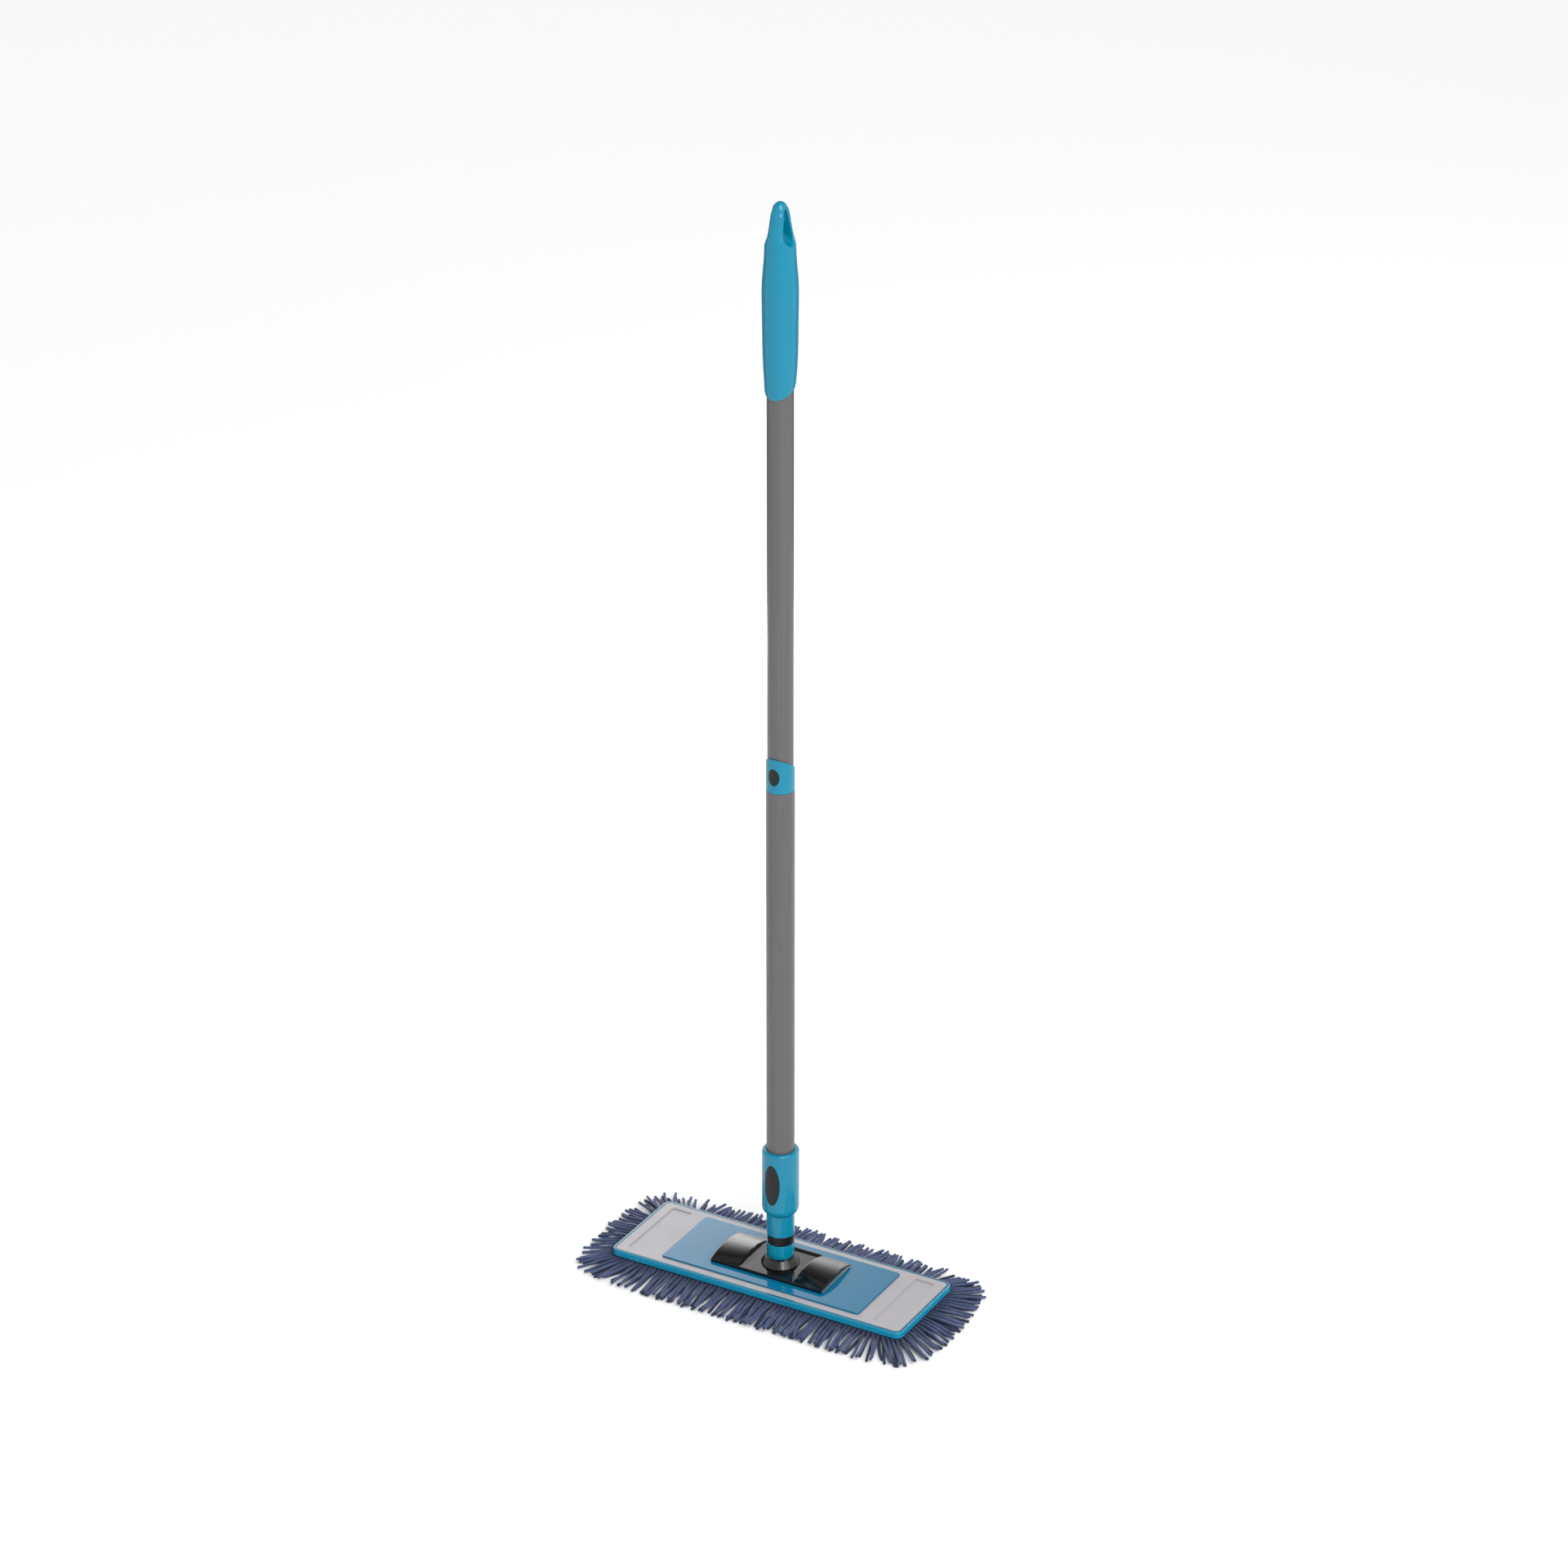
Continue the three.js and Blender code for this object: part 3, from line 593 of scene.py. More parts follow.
def edge_levels(bottom, top, edge, steps=4, under=None):
    """Levels of a slab from bottom to top with a rounded upper and lower edge."""
    under = edge if under is None else under
    turn = quarter_turn(steps)
    levels = [(under * fall, bottom + under * rise) for fall, rise in turn]
    return levels + [(edge * rise, top - edge * fall) for fall, rise in turn]


def oval(half_x, half_z, z, sides=64):
    """Points (x, height) round an upright oval."""
    angles = [2 * math.pi * k / sides for k in range(sides)]
    return [(half_x * math.cos(a), z + half_z * math.sin(a)) for a in angles]


def oval_bar(name, half_x, half_z, z, near_y, far_y):
    """A level oval bar between two places in Y."""
    outline = oval(half_x, half_z, z)
    count = len(outline)
    verts = [(x, y, height) for y in (near_y, far_y) for x, height in outline]
    loops = [list(range(count)), list(range(count, 2 * count))]
    return bare(name, verts, bridge(loops) + [loops[0][::-1], loops[1]])


def oval_button(name, node, radius, depth, edge):
    """A push button on the -Y side. Its face and its back follow a cylinder of that radius."""
    s = Span(node)
    half_x, half_z, z = (s.x1 - s.x0) / 2, (s.z1 - s.z0) / 2, (s.z0 + s.z1) / 2
    verts, loops = [(0, -radius, z)], [[0]]
    levels = [(half_x * (1 - share), 0.0) for share in (0.2, 0.4, 0.6, 0.8)]
    levels += [(edge * fall, edge * rise) for fall, rise in quarter_turn(4)]
    levels += [(half_x * share, depth) for share in (0, 0.3, 0.6, 0.85)]
    for inset, fall in levels:
        first = len(verts)
        stretch = half_z / half_x if inset > edge else 1
        for x, height in oval(half_x - inset, half_z - inset * stretch, z):
            verts.append((x, -math.sqrt(radius**2 - x**2) + fall, height))
        loops.append(list(range(first, len(verts))))
    verts.append((0, -radius + depth, z))
    loops.append([len(verts) - 1])
    return bare(name, verts, bridge(loops))


def cut_window(piece, button, near_y, far_y):
    """Cuts the opening for a push button through a piece."""
    s = Span(button)
    middle, half_z = (s.z0 + s.z1) / 2, (s.z1 - s.z0) / 2
    carve(piece, oval_bar("window", s.x1 + GAP, half_z + GAP, middle, near_y, far_y))


# ---------- frame, cover and panel
CUT_TOP = 40  # above all of the head, where its cutting tools end
HEAD_CORNER = 8
RIM_WALL, RIM_FLOOR = 3.4, 13.0
RIM_EDGE, RIM_UNDER, RIM_BREAK = 1.3, 0.6, 0.1  # its upper, lower and inner edges
LIP_LEVEL = 0.85  # least upward share of the normal of a lip face that gets the painted shade
COVER_LIFT = 0.12  # it meets the rim almost flush, so that no groove shows between them
COVER_GROWTH, COVER_CORNER, COVER_EDGE = 0.2, 4.5, 0.3
RECESS_MIDDLE, RECESS_DEPTH = 141.95, 1.1
RECESS_SIZE = (11.25, 45, 2)
PANEL_EDGE, PANEL_UNDER, PANEL_CORNER = 0.35, 0.1, 2.7
POCKET_CORNER = 3


def make_head():
    s = Span("mop_frame")
    levels = edge_levels(s.z0, s.z1, RIM_EDGE, steps=6, under=RIM_UNDER)
    levels += [(RIM_WALL - RIM_BREAK, s.z1), (RIM_WALL, s.z1 - RIM_BREAK), (RIM_WALL, RIM_FLOOR)]
    frame_piece = stacked("mop_frame_shell", levels, (s.x1, s.y1, HEAD_CORNER))
    dress(frame_piece, RIM_BLUE, "head", "blue_plastic", "mop_frame")
    # The lip's upward faces get the darker copy of the rim's blue: painted shade.
    frame_piece.data.materials.append(SHADED_LIP_BLUE)
    for polygon in frame_piece.data.polygons:
        if polygon.normal.z > LIP_LEVEL and polygon.center.z > (s.z1 - RIM_EDGE) * MM:
            polygon.material_index = 1

    s = Span("top_cover")
    panel = Span("inset_panel")
    top = s.z1 + COVER_LIFT
    size = (s.x1 + COVER_GROWTH, s.y1 + COVER_GROWTH, COVER_CORNER)
    cover = stacked("top_cover_shell", [(0, s.z0), (0, top)], size)
    size = (panel.x1 + GAP, panel.y1 + GAP, POCKET_CORNER)
    tools = [stacked("pocket", [(0, panel.z0 - GAP), (0, CUT_TOP)], size)]
    for middle in (-RECESS_MIDDLE, RECESS_MIDDLE):
        levels = [(0, top - RECESS_DEPTH), (0, CUT_TOP)]
        tools.append(stacked("recess", levels, RECESS_SIZE, (middle, 0)))
    carve(cover, *tools)
    soften(cover, COVER_EDGE)
    dress(cover, LIGHT_GREY, "head", "light_grey_plastic", "top_cover")

    levels = edge_levels(panel.z0, panel.z1, PANEL_EDGE, under=PANEL_UNDER)
    plate = stacked("inset_panel_gloss", levels, (panel.x1, panel.y1, PANEL_CORNER))
    dress(plate, PANEL_BLUE, "head", "blue_gloss_plastic", "inset_panel")


# ---------- swivel base
WING_START, WING_RISE, WING_DROP, BASE_FLAT_TOP = 31.5, 6.5, 0.25, 22.6
BASE_EDGE, BASE_BEVEL = 0.7, 0.25
WING_BROW, WING_FOOT = 0.9, 1.2  # largest radii above and below the step up to a wing
STEP_SHARE = 0.3  # most of the step's height that either may take
WING_STEPS, TURN_STEPS, FLAT_STEPS, BASE_ROWS = 12, 5, 5, 41
BACK_LIP = (25.0, 28.4, 1.4)  # where its slope starts and ends in Y, and its height
BACK_LIP_FADE = 2.5  # how far it reaches into the wings


def wing_height(x, y, half_x, half_y):
    """Height of the wing over the flat middle, as if the wing reached in over all of it."""
    radius = (half_y**2 + WING_RISE**2) / (2 * WING_RISE)
    arch = math.sqrt(max(0, radius**2 - y**2)) - (radius - WING_RISE)
    out = (abs(x) - WING_START) / (half_x - WING_START)
    return max(0, arch) * (1 - WING_DROP * max(0, out))


def back_lip(x, y):
    """Height of the low ridge behind the flat middle, which runs out into the wings."""
    rise = min(1, max(0, (y - BACK_LIP[0]) / (BACK_LIP[1] - BACK_LIP[0])))
    fade = min(1, max(0, (WING_START + BACK_LIP_FADE - abs(x)) / BACK_LIP_FADE))
    return BACK_LIP[2] * rise * rise * (3 - 2 * rise) * fade


def base_row(y, half_x, half_y):
    """Points (x, z) over the base from its left edge to its right one, at one y."""
    step = wing_height(WING_START, y, half_x, half_y)
    brow = min(WING_BROW, step * STEP_SHARE)
    foot = min(WING_FOOT, step * STEP_SHARE)
    side = []
    for k in range(WING_STEPS + 1):
        x = half_x + (WING_START + brow - half_x) * k / WING_STEPS
        side.append((x, wing_height(x, y, half_x, half_y)))
    top = wing_height(WING_START + brow, y, half_x, half_y)
    turn = quarter_turn(TURN_STEPS)
    side += [(WING_START + brow * fall, top - brow * rise) for fall, rise in turn[1:]]
    side += [(WING_START - foot * rise, foot * fall) for fall, rise in turn]
    for k in range(1, FLAT_STEPS):
        side.append(((WING_START - foot) * (1 - k / FLAT_STEPS), 0))
    right = [(x, BASE_FLAT_TOP + max(z, back_lip(x, y))) for x, z in side]
    left = [(-x, z) for x, z in right]
    return left + [(0, BASE_FLAT_TOP + back_lip(0, y))] + right[::-1]


def corner_fan(vertex, quarters):
    """The rim's places at one corner: one more quarter turn of the direction after so many."""
    places = []
    for angle in np.linspace(0, QUARTER, TURN_STEPS + 1)[1:]:
        x, y = math.cos(angle), math.sin(angle)
        for _ in range(quarters):
            x, y = -y, x
        places.append((vertex, (x, y)))
    return places


def make_base():
    s = Span("swivel_base")
    half_x, half_y = s.x1 - BASE_EDGE, s.y1 - BASE_EDGE
    grid, verts, faces = [], [], []
    for j in range(BASE_ROWS):
        y = -half_y * math.cos(math.pi * j / (BASE_ROWS - 1))
        row = []
        for x, z in base_row(y, half_x, half_y):
            row.append(len(verts))
            verts.append((x, y, z))
        grid.append(row)
    for low, high in zip(grid, grid[1:]):
        for k in range(len(low) - 1):
            faces.append((low[k], low[k + 1], high[k + 1], high[k]))
    # The rim: (vertex, outward direction), once round, with a fan at each corner.
    rim = [(v, (0, -1)) for v in grid[0]]
    rim += corner_fan(grid[0][-1], 3)
    rim += [(row[-1], (1, 0)) for row in grid[1:]]
    rim += corner_fan(grid[-1][-1], 0)
    rim += [(v, (0, 1)) for v in grid[-1][::-1][1:]]
    rim += corner_fan(grid[-1][0], 1)
    rim += [(row[0], (-1, 0)) for row in grid[::-1][1:]]
    rim += corner_fan(grid[0][0], 2)[:-1]
    loops = [[v for v, _ in rim]]
    # Each level: how far out, how far below the rim, or else its height.
    levels = []
    for k in range(1, TURN_STEPS + 1):
        angle = QUARTER * k / TURN_STEPS
        levels.append((BASE_EDGE * math.sin(angle), BASE_EDGE * (1 - math.cos(angle)), None))
    levels += [(BASE_EDGE, 0, s.z0 + BASE_BEVEL), (BASE_EDGE - BASE_BEVEL, 0, s.z0)]
    for out, fall, height in levels:
        first = len(verts)
        for v, (dx, dy) in rim:
            x, y, z = verts[v]
            verts.append((x + dx * out, y + dy * out, z - fall if height is None else height))
        loops.append(list(range(first, len(verts))))
    faces += bridge(loops) + [loops[-1]]
    base = bare("swivel_base_shell", verts, faces)
    dress(base, GLOSS_BLACK, "head", "black_gloss_plastic", "swivel_base")


# ---------- universal joint and socket
PIVOT_Z = 36.6
CUP_SKIRT, CUP_TOP_RADIUS = 0.8, 15.0
CUP_MOUTH_RADIUS = 14.45  # this and the bowl keep clear of the hood at full lean
CUP_BOWL = [(10.2, 26.3), (8.6, 25.0), (7.0, 23.95), (5.2, 23.2), (0, 23.2)]
HOOD_INSIDE, HOOD_CEILING, HOOD_STEPS = 12.8, 41.5, 8
SPIGOT_RADIUS = 9.5
BAND_BORE, BAND_EDGE = 9.9, 0.4
NECK_RADIUS, NECK_TOP = 14.15, 80.9
FLARE_MIDDLE, FLARE_TOP = (17.9, 84.9), 88.5
SPIGOT_POCKET, SPIGOT_POCKET_TOP = 9.8, 66
SOCKET_BORE, SOCKET_FLOOR = 14.35, 92.5
SOCKET_BUTTON = (0.25, 1.7, 0.5)  # how proud its face stands, its depth and its edge
WINDOW_EDGE = 0.25


def make_joint():
    cup, shell, band = Span("joint_cup"), Span("hood"), Span("neck_band")
    foot = BASE_FLAT_TOP + GAP
    outline = [(0, foot), (cup.x1, foot), (cup.x1, foot + CUP_SKIRT), (CUP_TOP_RADIUS, cup.z1)]
    outline += [(CUP_MOUTH_RADIUS, cup.z1)] + CUP_BOWL
    radii = [0, 0.15, 0.6, 0.25, 0.2] + [0] * len(CUP_BOWL)
    piece = lathe("joint_cup_shell", rounded(outline, radii), closed=False)
    dress(piece, CUP_BLACK, "head", "black_plastic", "joint_cup")

    # Below the pivot the hood is a ball, inside and out, so that it turns freely in the cup.
    radius, bottom, top = shell.x1, shell.z0, band.z0 - GAP
    outer, inner = [], []
    start = math.asin((bottom - PIVOT_Z) / radius)
    end = math.asin((bottom - PIVOT_Z) / HOOD_INSIDE)
    for k in range(HOOD_STEPS + 1):
        angle = start * (1 - k / HOOD_STEPS)
        outer.append((radius * math.cos(angle), PIVOT_Z + radius * math.sin(angle)))
        angle = end * k / HOOD_STEPS
        inner.append((HOOD_INSIDE * math.cos(angle), PIVOT_Z + HOOD_INSIDE * math.sin(angle)))
    outline = [(0, HOOD_CEILING), (HOOD_INSIDE, HOOD_CEILING)] + inner + outer
    outline += [(radius, top), (SPIGOT_RADIUS, top), (SPIGOT_RADIUS, shell.z1), (0, shell.z1)]
    ball = [0] * HOOD_STEPS
    radii = [0, 0.5] + ball + [0.3, 0.5] + ball + [0.35, 0.1, 0.3, 0]
    piece = lathe("hood_shell", rounded(outline, radii), closed=False)
    dress(piece, BLUE, "neck", "blue_plastic", "hood")

    outline = [(BAND_BORE, band.z0), (band.x1, band.z0), (band.x1, band.z1), (BAND_BORE, band.z1)]
    piece = lathe("neck_band_ring", rounded(outline, BAND_EDGE))
    dress(piece, BLACK, "neck", "black_plastic", "neck_band")


def make_socket():
    s = Span("socket")
    outline = [(0, SPIGOT_POCKET_TOP), (SPIGOT_POCKET, SPIGOT_POCKET_TOP), (SPIGOT_POCKET, s.z0)]
    outline += [(NECK_RADIUS, s.z0), (NECK_RADIUS, NECK_TOP), FLARE_MIDDLE, (s.x1, FLARE_TOP)]
    outline += [(s.x1, s.z1), (SOCKET_BORE, s.z1), (SOCKET_BORE, SOCKET_FLOOR), (0, SOCKET_FLOOR)]
    radii = [0, 0.3, 0.2, 0.5, 0.6, 2.5, 2.0, 3.6, 0.25, 0.5, 0]
    piece = lathe("socket_shell", rounded(outline, radii, 6), closed=False)
    cut_window(piece, "socket_button", near_y=-40, far_y=-8)
    soften(piece, WINDOW_EDGE)
    dress(piece, BLUE, "neck", "blue_plastic", "socket")
    proud, depth, edge = SOCKET_BUTTON
    piece = oval_button("socket_button_face", "socket_button", s.x1 + proud, depth, edge)
    dress(piece, BLACK, "release_button", "black_plastic", "socket_button")


# ---------- pole
LOWER_BORE, UPPER_BORE = 13.0, 11.7
TURNED_RADIUS = 13.35  # the lower tube's turned-down end inside the collar
LOWER_EDGE, UPPER_EDGE = 0.15, 0.2
COLLAR_MIDDLE, COLLAR_SLOPE = 578.4, -0.6  # its slanted top edge: height on the axis, and rise
COLLAR_POCKET, COLLAR_POCKET_TOP = 13.6, 566.5
COLLAR_BUTTON = (0.2, 0.7, 0.3)


def make_pole():
    s, collar = Span("lower_tube"), Span("collar")
    shoulder = collar.z0 - GAP
    outline = [(LOWER_BORE, s.z0), (s.x1, s.z0), (s.x1, shoulder), (TURNED_RADIUS, shoulder)]
    outline += [(TURNED_RADIUS, s.z1), (LOWER_BORE, s.z1)]
    piece = lathe("lower_tube_wall", rounded(outline, LOWER_EDGE, 3))
    dress(piece, TUBE_GREY, "lower_pole", "grey_tube", "lower_tube")

    outline = [(COLLAR_POCKET, collar.z0), (collar.x1, collar.z0), (collar.x1, COLLAR_MIDDLE, 1)]
    outline += [(LOWER_BORE, COLLAR_MIDDLE, 1), (LOWER_BORE, COLLAR_POCKET_TOP)]
    outline += [(COLLAR_POCKET, COLLAR_POCKET_TOP)]
    radii = [0.1, 0.4, 0.35, 0.2, 0.2, 0.1]
    piece = lathe("collar_shell", rounded(outline, radii, 4), slope=COLLAR_SLOPE)
    cut_window(piece, "collar_button", near_y=-30, far_y=-6)
    dress(piece, BLUE, "lower_pole", "blue_plastic", "collar")
    proud, depth, edge = COLLAR_BUTTON
    piece = oval_button("collar_button_face", "collar_button", collar.x1 + proud, depth, edge)
    dress(piece, BLACK, "telescope_button", "black_plastic", "collar_button")

    s = Span("upper_tube")
    outline = [(UPPER_BORE, s.z0), (s.x1, s.z0), (s.x1, s.z1), (UPPER_BORE, s.z1)]
    piece = lathe("upper_tube_wall", rounded(outline, UPPER_EDGE, 3))
    dress(piece, TUBE_GREY, "upper_pole", "grey_tube", "upper_tube")


# ---------- grip
GRIP_PROFILE = [
    (14.1, 952), (14.6, 962), (15.2, 971), (15.8, 980), (16.4, 992), (16.75, 1005),
    (17.0, 1031), (17.35, 1055), (16.85, 1069), (15.85, 1080), (15.2, 1088), (14.85, 1096),
    (14.7, 1102), (14.2, 1107), (13.1, 1112.5), (11.85, 1119), (10.7, 1125.5), (9.5, 1132),
    (7.1, 1138),
]
GRIP_CAP = [(5.6, 1140.2), (3.8, 1141.7), (1.9, 1142.6), (0, 1143)]
GRIP_SIDES = 48
GRIP_BORE, GRIP_BORE_TOP = 13.0, 1083
EDGE_MIDDLE, EDGE_SLOPE = 961, 0.571  # its slanted lower edge: height on the axis, and rise
EDGE_RADIUS, EDGE_FROM = 1.2, 955
# Heights of the mesh's rows: those that follow the slant by some share, and level ones.
SLANTED_ROWS = [(963.5, 1), (967, 0.85), (972, 0.5), (978, 0.2), (985, 0)]
LEVEL_ROWS = [995, 1007, 1019, 1031, 1043, 1055, 1064, 1072, 1080]
FLAT_FROM, FLAT_OVER, FLAT_SHARE = 1095, 45, 0.1  # where the tip narrows, and by how much

HOLE_LOW, HOLE_HIGH = (1110.2, 8.2), (1131.5, 3.3)  # height and radius of its two ends
HOLE_MIDDLE = 1115.0
HOLE_ROWS = (1088, 1137, 14)  # heights of the mesh round it, and its number of rows
HOLE_FAR, HOLE_HALVINGS, HOLE_CIRCLES = 60.0, 40, 33  # for finding its outline
LIP = 4.0  # largest radius of its rounded edge
LIP_STEPS = 6
LIP_ROOM = 0.9  # share of the grip's half width that hole and edge may fill
LIP_FREE = 2  # nearer than this to the middle they have room enough
LIP_OUT = (0.14, 0.34, 0.6, 0.82, 1.0)  # rows from the edge out to the border
SPOKE_SCALE = 13.0  # millimetres for each radian round the grip


def spline(points, per_span=8):
    """A Catmull-Rom curve through (radius, height) points, as arrays of height and radius."""
    p = np.array([points[0], *points, points[-1]], float)
    made = []
    for i in range(1, len(p) - 2):
        for step in range(per_span):
            t = step / per_span
            a, b, c, d = p[i - 1 : i + 3]
            made.append(
                0.5 * (2 * b + (c - a) * t + (2 * a - 5 * b + 4 * c - d) * t**2
                       + (3 * b - 3 * c + d - a) * t**3)
            )
    made.append(p[-2])
    made = np.array(made)
    return made[:, 1], made[:, 0]


GRIP_Z, GRIP_R = spline(GRIP_PROFILE)


def grip_radius(z):
    return float(np.interp(z, GRIP_Z, GRIP_R))


def flatness(z):
    """The grip is a little narrower along the hanging hole's axis near its tip."""
    t = min(1, max(0, (z - FLAT_FROM) / FLAT_OVER))
    return 1 - FLAT_SHARE * t * t * (3 - 2 * t)


def hole_reach(angle, offset):
    """Distance from the hole's middle to its outline, grown by offset, in that direction."""
    direction = np.array([math.cos(angle), math.sin(angle)])
    low, high = 0.0, HOLE_FAR
    for _ in range(HOLE_HALVINGS):
        middle = (low + high) / 2
        y, z = direction * middle + (0, HOLE_MIDDLE)
        inside = False
        for share in np.linspace(0, 1, HOLE_CIRCLES):
            centre = HOLE_LOW[0] + (HOLE_HIGH[0] - HOLE_LOW[0]) * share
            radius = HOLE_LOW[1] + (HOLE_HIGH[1] - HOLE_LOW[1]) * share + offset
            if y * y + (z - centre) ** 2 < radius * radius:
                inside = True
                break
        low, high = (middle, high) if inside else (low, middle)
    return low


def on_grip(angle, z):
    """A place on the grip's outside."""
    radius = grip_radius(z)
    return (radius * math.cos(angle) * flatness(z), radius * math.sin(angle), z)


def grip_side(verts, faces, bottom, top, rows):
    """The grip between two heights, with the hanging hole through it along X."""
    half = GRIP_SIDES // 2
    across = [QUARTER * (2 * k / half - 1) for k in range(half + 1)]
    up = [bottom + (top - bottom) * k / rows for k in range(rows + 1)]
    border = [(a, bottom) for a in across]
    border += [(QUARTER, z) for z in up[1:]]
    border += [(a, top) for a in across[::-1][1:]]
    border += [(-QUARTER, z) for z in up[::-1][1:-1]]
    # Each spoke runs from the hole's wall over its rounded edge and out to the border.
    spokes = []
    for a, z in border:
        angle = math.atan2(z - HOLE_MIDDLE, a * SPOKE_SCALE)
        direction = (math.cos(angle), math.sin(angle))
        inner = hole_reach(angle, 0)
        hole_y, hole_z = direction[0] * inner, HOLE_MIDDLE + direction[1] * inner
        room = LIP_ROOM * grip_radius(hole_z) - abs(hole_y)
        lip = min(LIP, room) if abs(hole_y) > LIP_FREE else LIP
        spoke = []
        for step in range(LIP_STEPS + 1):
            turn = QUARTER * (1 - step / LIP_STEPS)
            reach = hole_reach(angle, lip * (1 - math.sin(turn)))
            y, height = direction[0] * reach, HOLE_MIDDLE + direction[1] * reach
            radius = grip_radius(height)
            x = math.sqrt(max(0.04 * radius**2, radius**2 - y**2)) * flatness(height)
            spoke.append((x - lip * (1 - math.cos(turn)), y, height))
        _, y, height = spoke[-1]
        lip_angle = math.asin(max(-1, min(1, y / grip_radius(height))))
        for share in LIP_OUT:
            around = lip_angle + (a - lip_angle) * share
            spoke.append(on_grip(around, height + (z - height) * share))
        spokes.append([(0, *spoke[0][1:]), (spoke[0][0] / 2, *spoke[0][1:])] + spoke)
    for mirror in (1, -1):
        loops = []
        for level in range(len(spokes[0])):
            first = len(verts)
            verts += [(mirror * s[level][0], s[level][1], s[level][2]) for s in spokes]
            loops.append(list(range(first, len(verts))))
        faces += bridge(loops)


def make_grip():
    bottom, top, rows = HOLE_ROWS
    low = grip_radius(EDGE_FROM)
    outline = [(GRIP_BORE, GRIP_BORE_TOP, 0)]
    outline += [(GRIP_BORE, EDGE_MIDDLE + above, 1) for above in (3, 0.4)]
    for fall, rise in quarter_turn(4):
        outline.append((low - EDGE_RADIUS * fall, EDGE_MIDDLE + EDGE_RADIUS * rise, 1))
    outline += [(grip_radius(z), z, weight) for z, weight in SLANTED_ROWS]
    outline += [(grip_radius(z), z, 0) for z in (*LEVEL_ROWS, bottom)]
    verts = []
    loops = [ring(verts, 0, GRIP_BORE_TOP, GRIP_SIDES)]
    for r, z, weight in outline:
        loops.append(ring(verts, r, z, GRIP_SIDES, weight, EDGE_SLOPE, flatness(z)))
    faces = bridge(loops)
    grip_side(verts, faces, bottom, top, rows)
    cap = [(grip_radius(top), top)] + GRIP_CAP
    faces += bridge([ring(verts, r, z, GRIP_SIDES, 0, 0, flatness(z)) for r, z in cap])
    grip = bare("grip_body", verts, faces)
    smooth = grip.modifiers.new("smooth", "SUBSURF")
    smooth.levels = smooth.render_levels = 1
    applied(grip)
    dress(grip, BLUE, "upper_pole", "blue_plastic", "grip", weighted=False)


# ---------- pad
STRAND_RADIUS = 1.48
STRAND_SIDES = 8
STRAND_STEPS = 9
STRAND_LIFT = 0.05  # how far the lowest ones lie off the floor
STRAND_LENGTH = 42  # about the longest, from root to tip
STRAND_INSET = 3.0
STRAND_CORNER = 9  # radius of the row of roots at the head's corners
CORNER_CROWD = 1.15  # how much closer they stand there
FAN = 45  # how far inside the edge the strands' directions meet
HEADING_SPREAD, BEND_SPREAD = 3.8, 9  # degrees
SAG_START = 0.12  # share of a strand that lies level
LOWER_ROW = 6  # a row of strands that starts below this is the lower one
# Each row: start height, pitch, shift, reach, spread of reach, height of the tips.
STRAND_ROWS = [
    (8.0, 5.0, 0.25, 38.5, 3.5, 4.0),
    (3.4, 5.6, 0.75, 36.5, 4.5, 1.6),
]
ROOT_TIP_SHADE, LOWER_ROW_SHADE = 0.75, 0.65  # painted shade: how dark roots and tips are, and the lower row

PILE_BOTTOM, PILE_EDGE, PAD_CORNER = 3.2, 1.2, 7.5
PILE_COLUMNS, PILE_ROWS, PILE_RADIUS = 26, 15, 2.0
PILE_MARGIN = (8, 2.5)
PILE_LOOP = (6.5, 5.0, 1.2)  # half a loop's length, its drift and how far its ends rise
BACKING_EDGE = 0.5
random_number = random.Random(7)


def yarn_object(name, verts, faces):
    mesh = bpy.data.meshes.new(name)
    mesh.from_pydata([tuple(np.array(v) * MM) for v in verts], [], faces)
    return link(bpy.data.objects.new(name, mesh))


def tube_along(verts, faces, points, radius):
    """A round-ended yarn along a list of points."""
    p = np.array(points, float)
    tangent = np.gradient(p, axis=0)
    tangent /= np.linalg.norm(tangent, axis=1)[:, None]
    side = np.cross(tangent, (0, 0, 1.0))
    side /= np.linalg.norm(side, axis=1)[:, None]
    over = np.cross(side, tangent)
    rings = [(p[0] - tangent[0] * radius * 0.55, 0.6, 0), (p[0], 1.0, 0)]
    rings += [(p[i], random_number.uniform(0.95, 1.05), i) for i in range(1, len(p) - 1)]
    last = len(p) - 1
    rings += [(p[last], 1.0, last), (p[last] + tangent[last] * radius * 0.45, 0.82, last)]
    loops = []
    tips = [p[0] - tangent[0] * radius * 0.75, p[last] + tangent[last] * radius * 0.72]
    verts.append(tips[0])
    loops.append([len(verts) - 1])
    for centre, share, i in rings:
        first = len(verts)
        for k in range(STRAND_SIDES):
            a = 2 * math.pi * k / STRAND_SIDES
            out = math.cos(a) * side[i] + math.sin(a) * over[i]
            verts.append(centre + radius * share * out)
        loops.append(list(range(first, len(verts))))
    verts.append(tips[1])
    loops.append([len(verts) - 1])
    faces += bridge(loops)


def round_the_edge(half_x, half_y, corner, pitch, shift):
    """Places evenly spaced round a rounded rectangle, anticlockwise from its front left."""
    x, y = half_x - corner, half_y - corner
    found = []
    sides = [((-x, -half_y), (x, -half_y), (x, -y)), ((half_x, -y), (half_x, y), (x, y))]
    sides += [((x, half_y), (-x, half_y), (-x, y)), ((-half_x, y), (-half_x, -y), (-x, -y))]
    for quarter, (start, end, middle) in enumerate(sides):
        start, end = np.array(start), np.array(end)
        count = round(float(np.linalg.norm(end - start)) / pitch)
        found += [start + (end - start) * (k + shift) / count for k in range(count)]
        turns = max(3, round(corner * QUARTER / pitch * CORNER_CROWD))
        for k in range(turns):
            angle = QUARTER * (quarter - 1 + (k + shift) / turns)
            found.append(np.array(middle) + corner * np.array((math.cos(angle), math.sin(angle))))
    return found


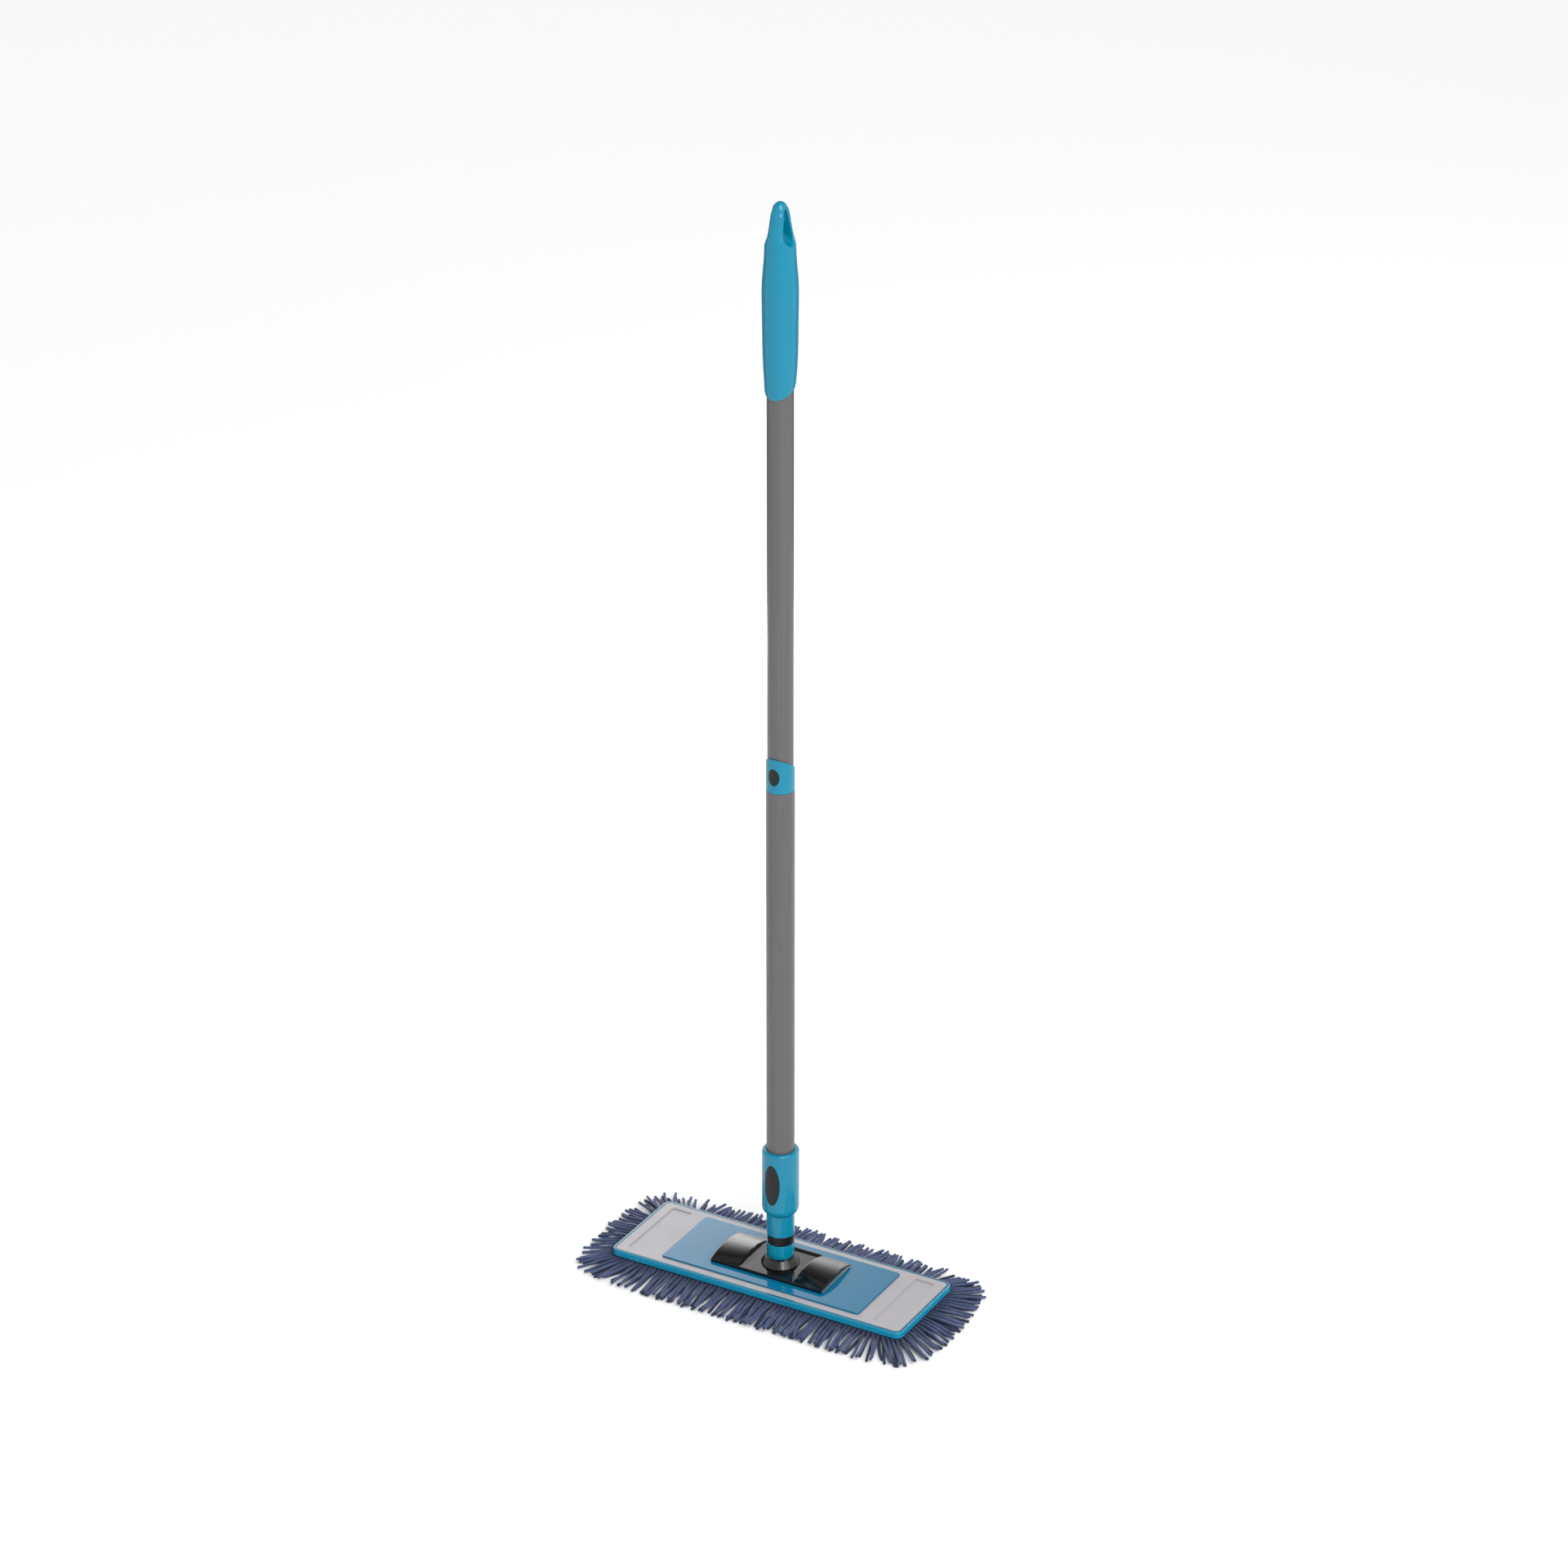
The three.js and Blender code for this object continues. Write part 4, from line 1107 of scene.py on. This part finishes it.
def outward(place, half_x, half_y):
    """Direction of a strand: square to the sides and fanned out towards the corners."""
    core = np.clip(place, (FAN - half_x, FAN - half_y), (half_x - FAN, half_y - FAN))
    away = place - core
    return math.atan2(away[1], away[0])


def strand(place, facing, row):
    """Points along one strand, which leaves its root level and sags to its tip."""
    height, _, _, reach, spread, tip = row
    r = random_number
    heading = facing + math.radians(r.gauss(0, HEADING_SPREAD))
    bend = math.radians(r.gauss(0, BEND_SPREAD))
    length = reach + r.uniform(-spread, spread * 0.7)
    tip += r.uniform(-1.4, 2.0) if height > LOWER_ROW else 0
    sag = r.uniform(0.9, 1.5)
    x, y = place
    points = [(x, y, height)]
    step = (length + STRAND_INSET) / STRAND_STEPS
    for k in range(1, STRAND_STEPS + 1):
        t = k / STRAND_STEPS
        angle = heading + bend * t * t
        x += step * math.cos(angle)
        y += step * math.sin(angle)
        free = max(0, (t - SAG_START) / (1 - SAG_START)) ** sag
        drop = free * free * (3 - 2 * free)
        z = height + (tip - height) * drop
        points.append((x, y, max(STRAND_RADIUS + STRAND_LIFT, z)))
    return points


def yarn_painted_shade(count, lower):
    """Painted shade for each vertex of one strand: darker at its root, its cut tip and all over
    the lower row.
    """
    along = np.arange(count) / (count - 1)
    root = np.interp(along, (0.1, 0.5), (ROOT_TIP_SHADE, 0.0))
    tip = np.interp(along, (0.9, 0.96), (0.0, ROOT_TIP_SHADE))
    return list(np.maximum(np.maximum(root, tip), LOWER_ROW_SHADE if lower else 0))


def make_fringe():
    limit = np.array([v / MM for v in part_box("pad_fringe")[1][:2]])
    s = Span("mop_frame")
    half = np.array((s.x1 - STRAND_INSET, s.y1 - STRAND_INSET))
    verts, faces, painted_shades = [], [], []
    for row in STRAND_ROWS:
        height, pitch, shift = row[:3]
        for place in round_the_edge(*half, STRAND_CORNER, pitch, shift):
            first = len(verts)
            points = np.array(strand(place, outward(place, *half), row))
            # A strand that would leave the pad's box is pulled in towards its root.
            flat = points[:, :2]
            over = (np.abs(flat).max(0) - limit + STRAND_RADIUS).max()
            if over > 0:
                points[:, :2] = flat[0] + (flat - flat[0]) * (1 - over / STRAND_LENGTH)
            tube_along(verts, faces, points, STRAND_RADIUS * random_number.uniform(0.94, 1.05))
            painted_shades += yarn_painted_shade(len(verts) - first, height < LOWER_ROW)
    fringe = yarn_object("fringe_strands", verts, faces)
    # The depth attribute carries the strands' painted shade.
    fringe.data.attributes.new("depth", "FLOAT", "POINT").data.foreach_set("value", painted_shades)
    return dress(fringe, YARN, "head", "microfibre", "pad_fringe", weighted=False)


def make_pile():
    """The pad's underside: a slab with looped yarns all over it."""
    s = Span("pad_pile")
    levels = edge_levels(PILE_BOTTOM, s.z1, PILE_EDGE)
    body = stacked("pile_body", levels, (s.x1, s.y1, PAD_CORNER))
    half_x, half_y = s.x1 - PILE_MARGIN[0], s.y1 - PILE_MARGIN[1]
    half_length, drift, rise = PILE_LOOP
    verts = [tuple(v.co / MM) for v in body.data.vertices]
    faces = [tuple(p.vertices) for p in body.data.polygons]
    bpy.data.objects.remove(body)
    for j in range(PILE_ROWS):
        for i in range(PILE_COLUMNS):
            x = (2 * (i + 0.5 + 0.25 * (j % 2)) / (PILE_COLUMNS + 0.5) - 1) * half_x
            y = (2 * (j + 0.5) / PILE_ROWS - 1) * half_y
            a = random_number.gauss(0, 0.35)
            points = []
            for t in (-1, -0.5, 0, 0.5, 1):
                z = PILE_RADIUS + STRAND_LIFT + rise * abs(t) ** 3
                points.append((x + half_length * t * math.cos(a), y + drift * t * math.sin(a), z))
            tube_along(verts, faces, points, PILE_RADIUS)
    pile = yarn_object("pile_yarns", verts, faces)
    dress(pile, YARN, "head", "microfibre", "pad_pile", weighted=False)


def make_pad():
    fringe = make_fringe()
    make_pile()
    s = Span("pad_backing")
    levels = edge_levels(s.z0, s.z1, BACKING_EDGE)
    backing = stacked("backing_cloth", levels, (s.x1, s.y1, PAD_CORNER))
    dress(backing, CLOTH, "head", "pad_cloth", "pad_backing")


# ---------- hidden CAD parts
CAD_FINISH = {
    "hook_strip_": HOOKS,
    "pivot_post": BLACK,
    "swivel_yoke": BLACK,
    "socket_lock_ring": BLACK,
    "guide_bush": BLACK,
    "yoke_pin": STEEL,
    "hood_pin_": STEEL,
    "neck_screw": STEEL,
    "clamp_ring": STEEL,
    "base_screw_": STEEL,
    "cover_screw_": STEEL,
}


def finish_cad():
    """Gives the CAD nodes that stay as they are their materials."""
    for name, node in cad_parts.items():
        for start, material in CAD_FINISH.items():
            if name.startswith(start):
                for material_slot in node.material_slots:
                    material_slot.material = material


make_stage()
make_head()
make_base()
make_joint()
make_socket()
make_pole()
make_grip()
make_pad()
finish_cad()
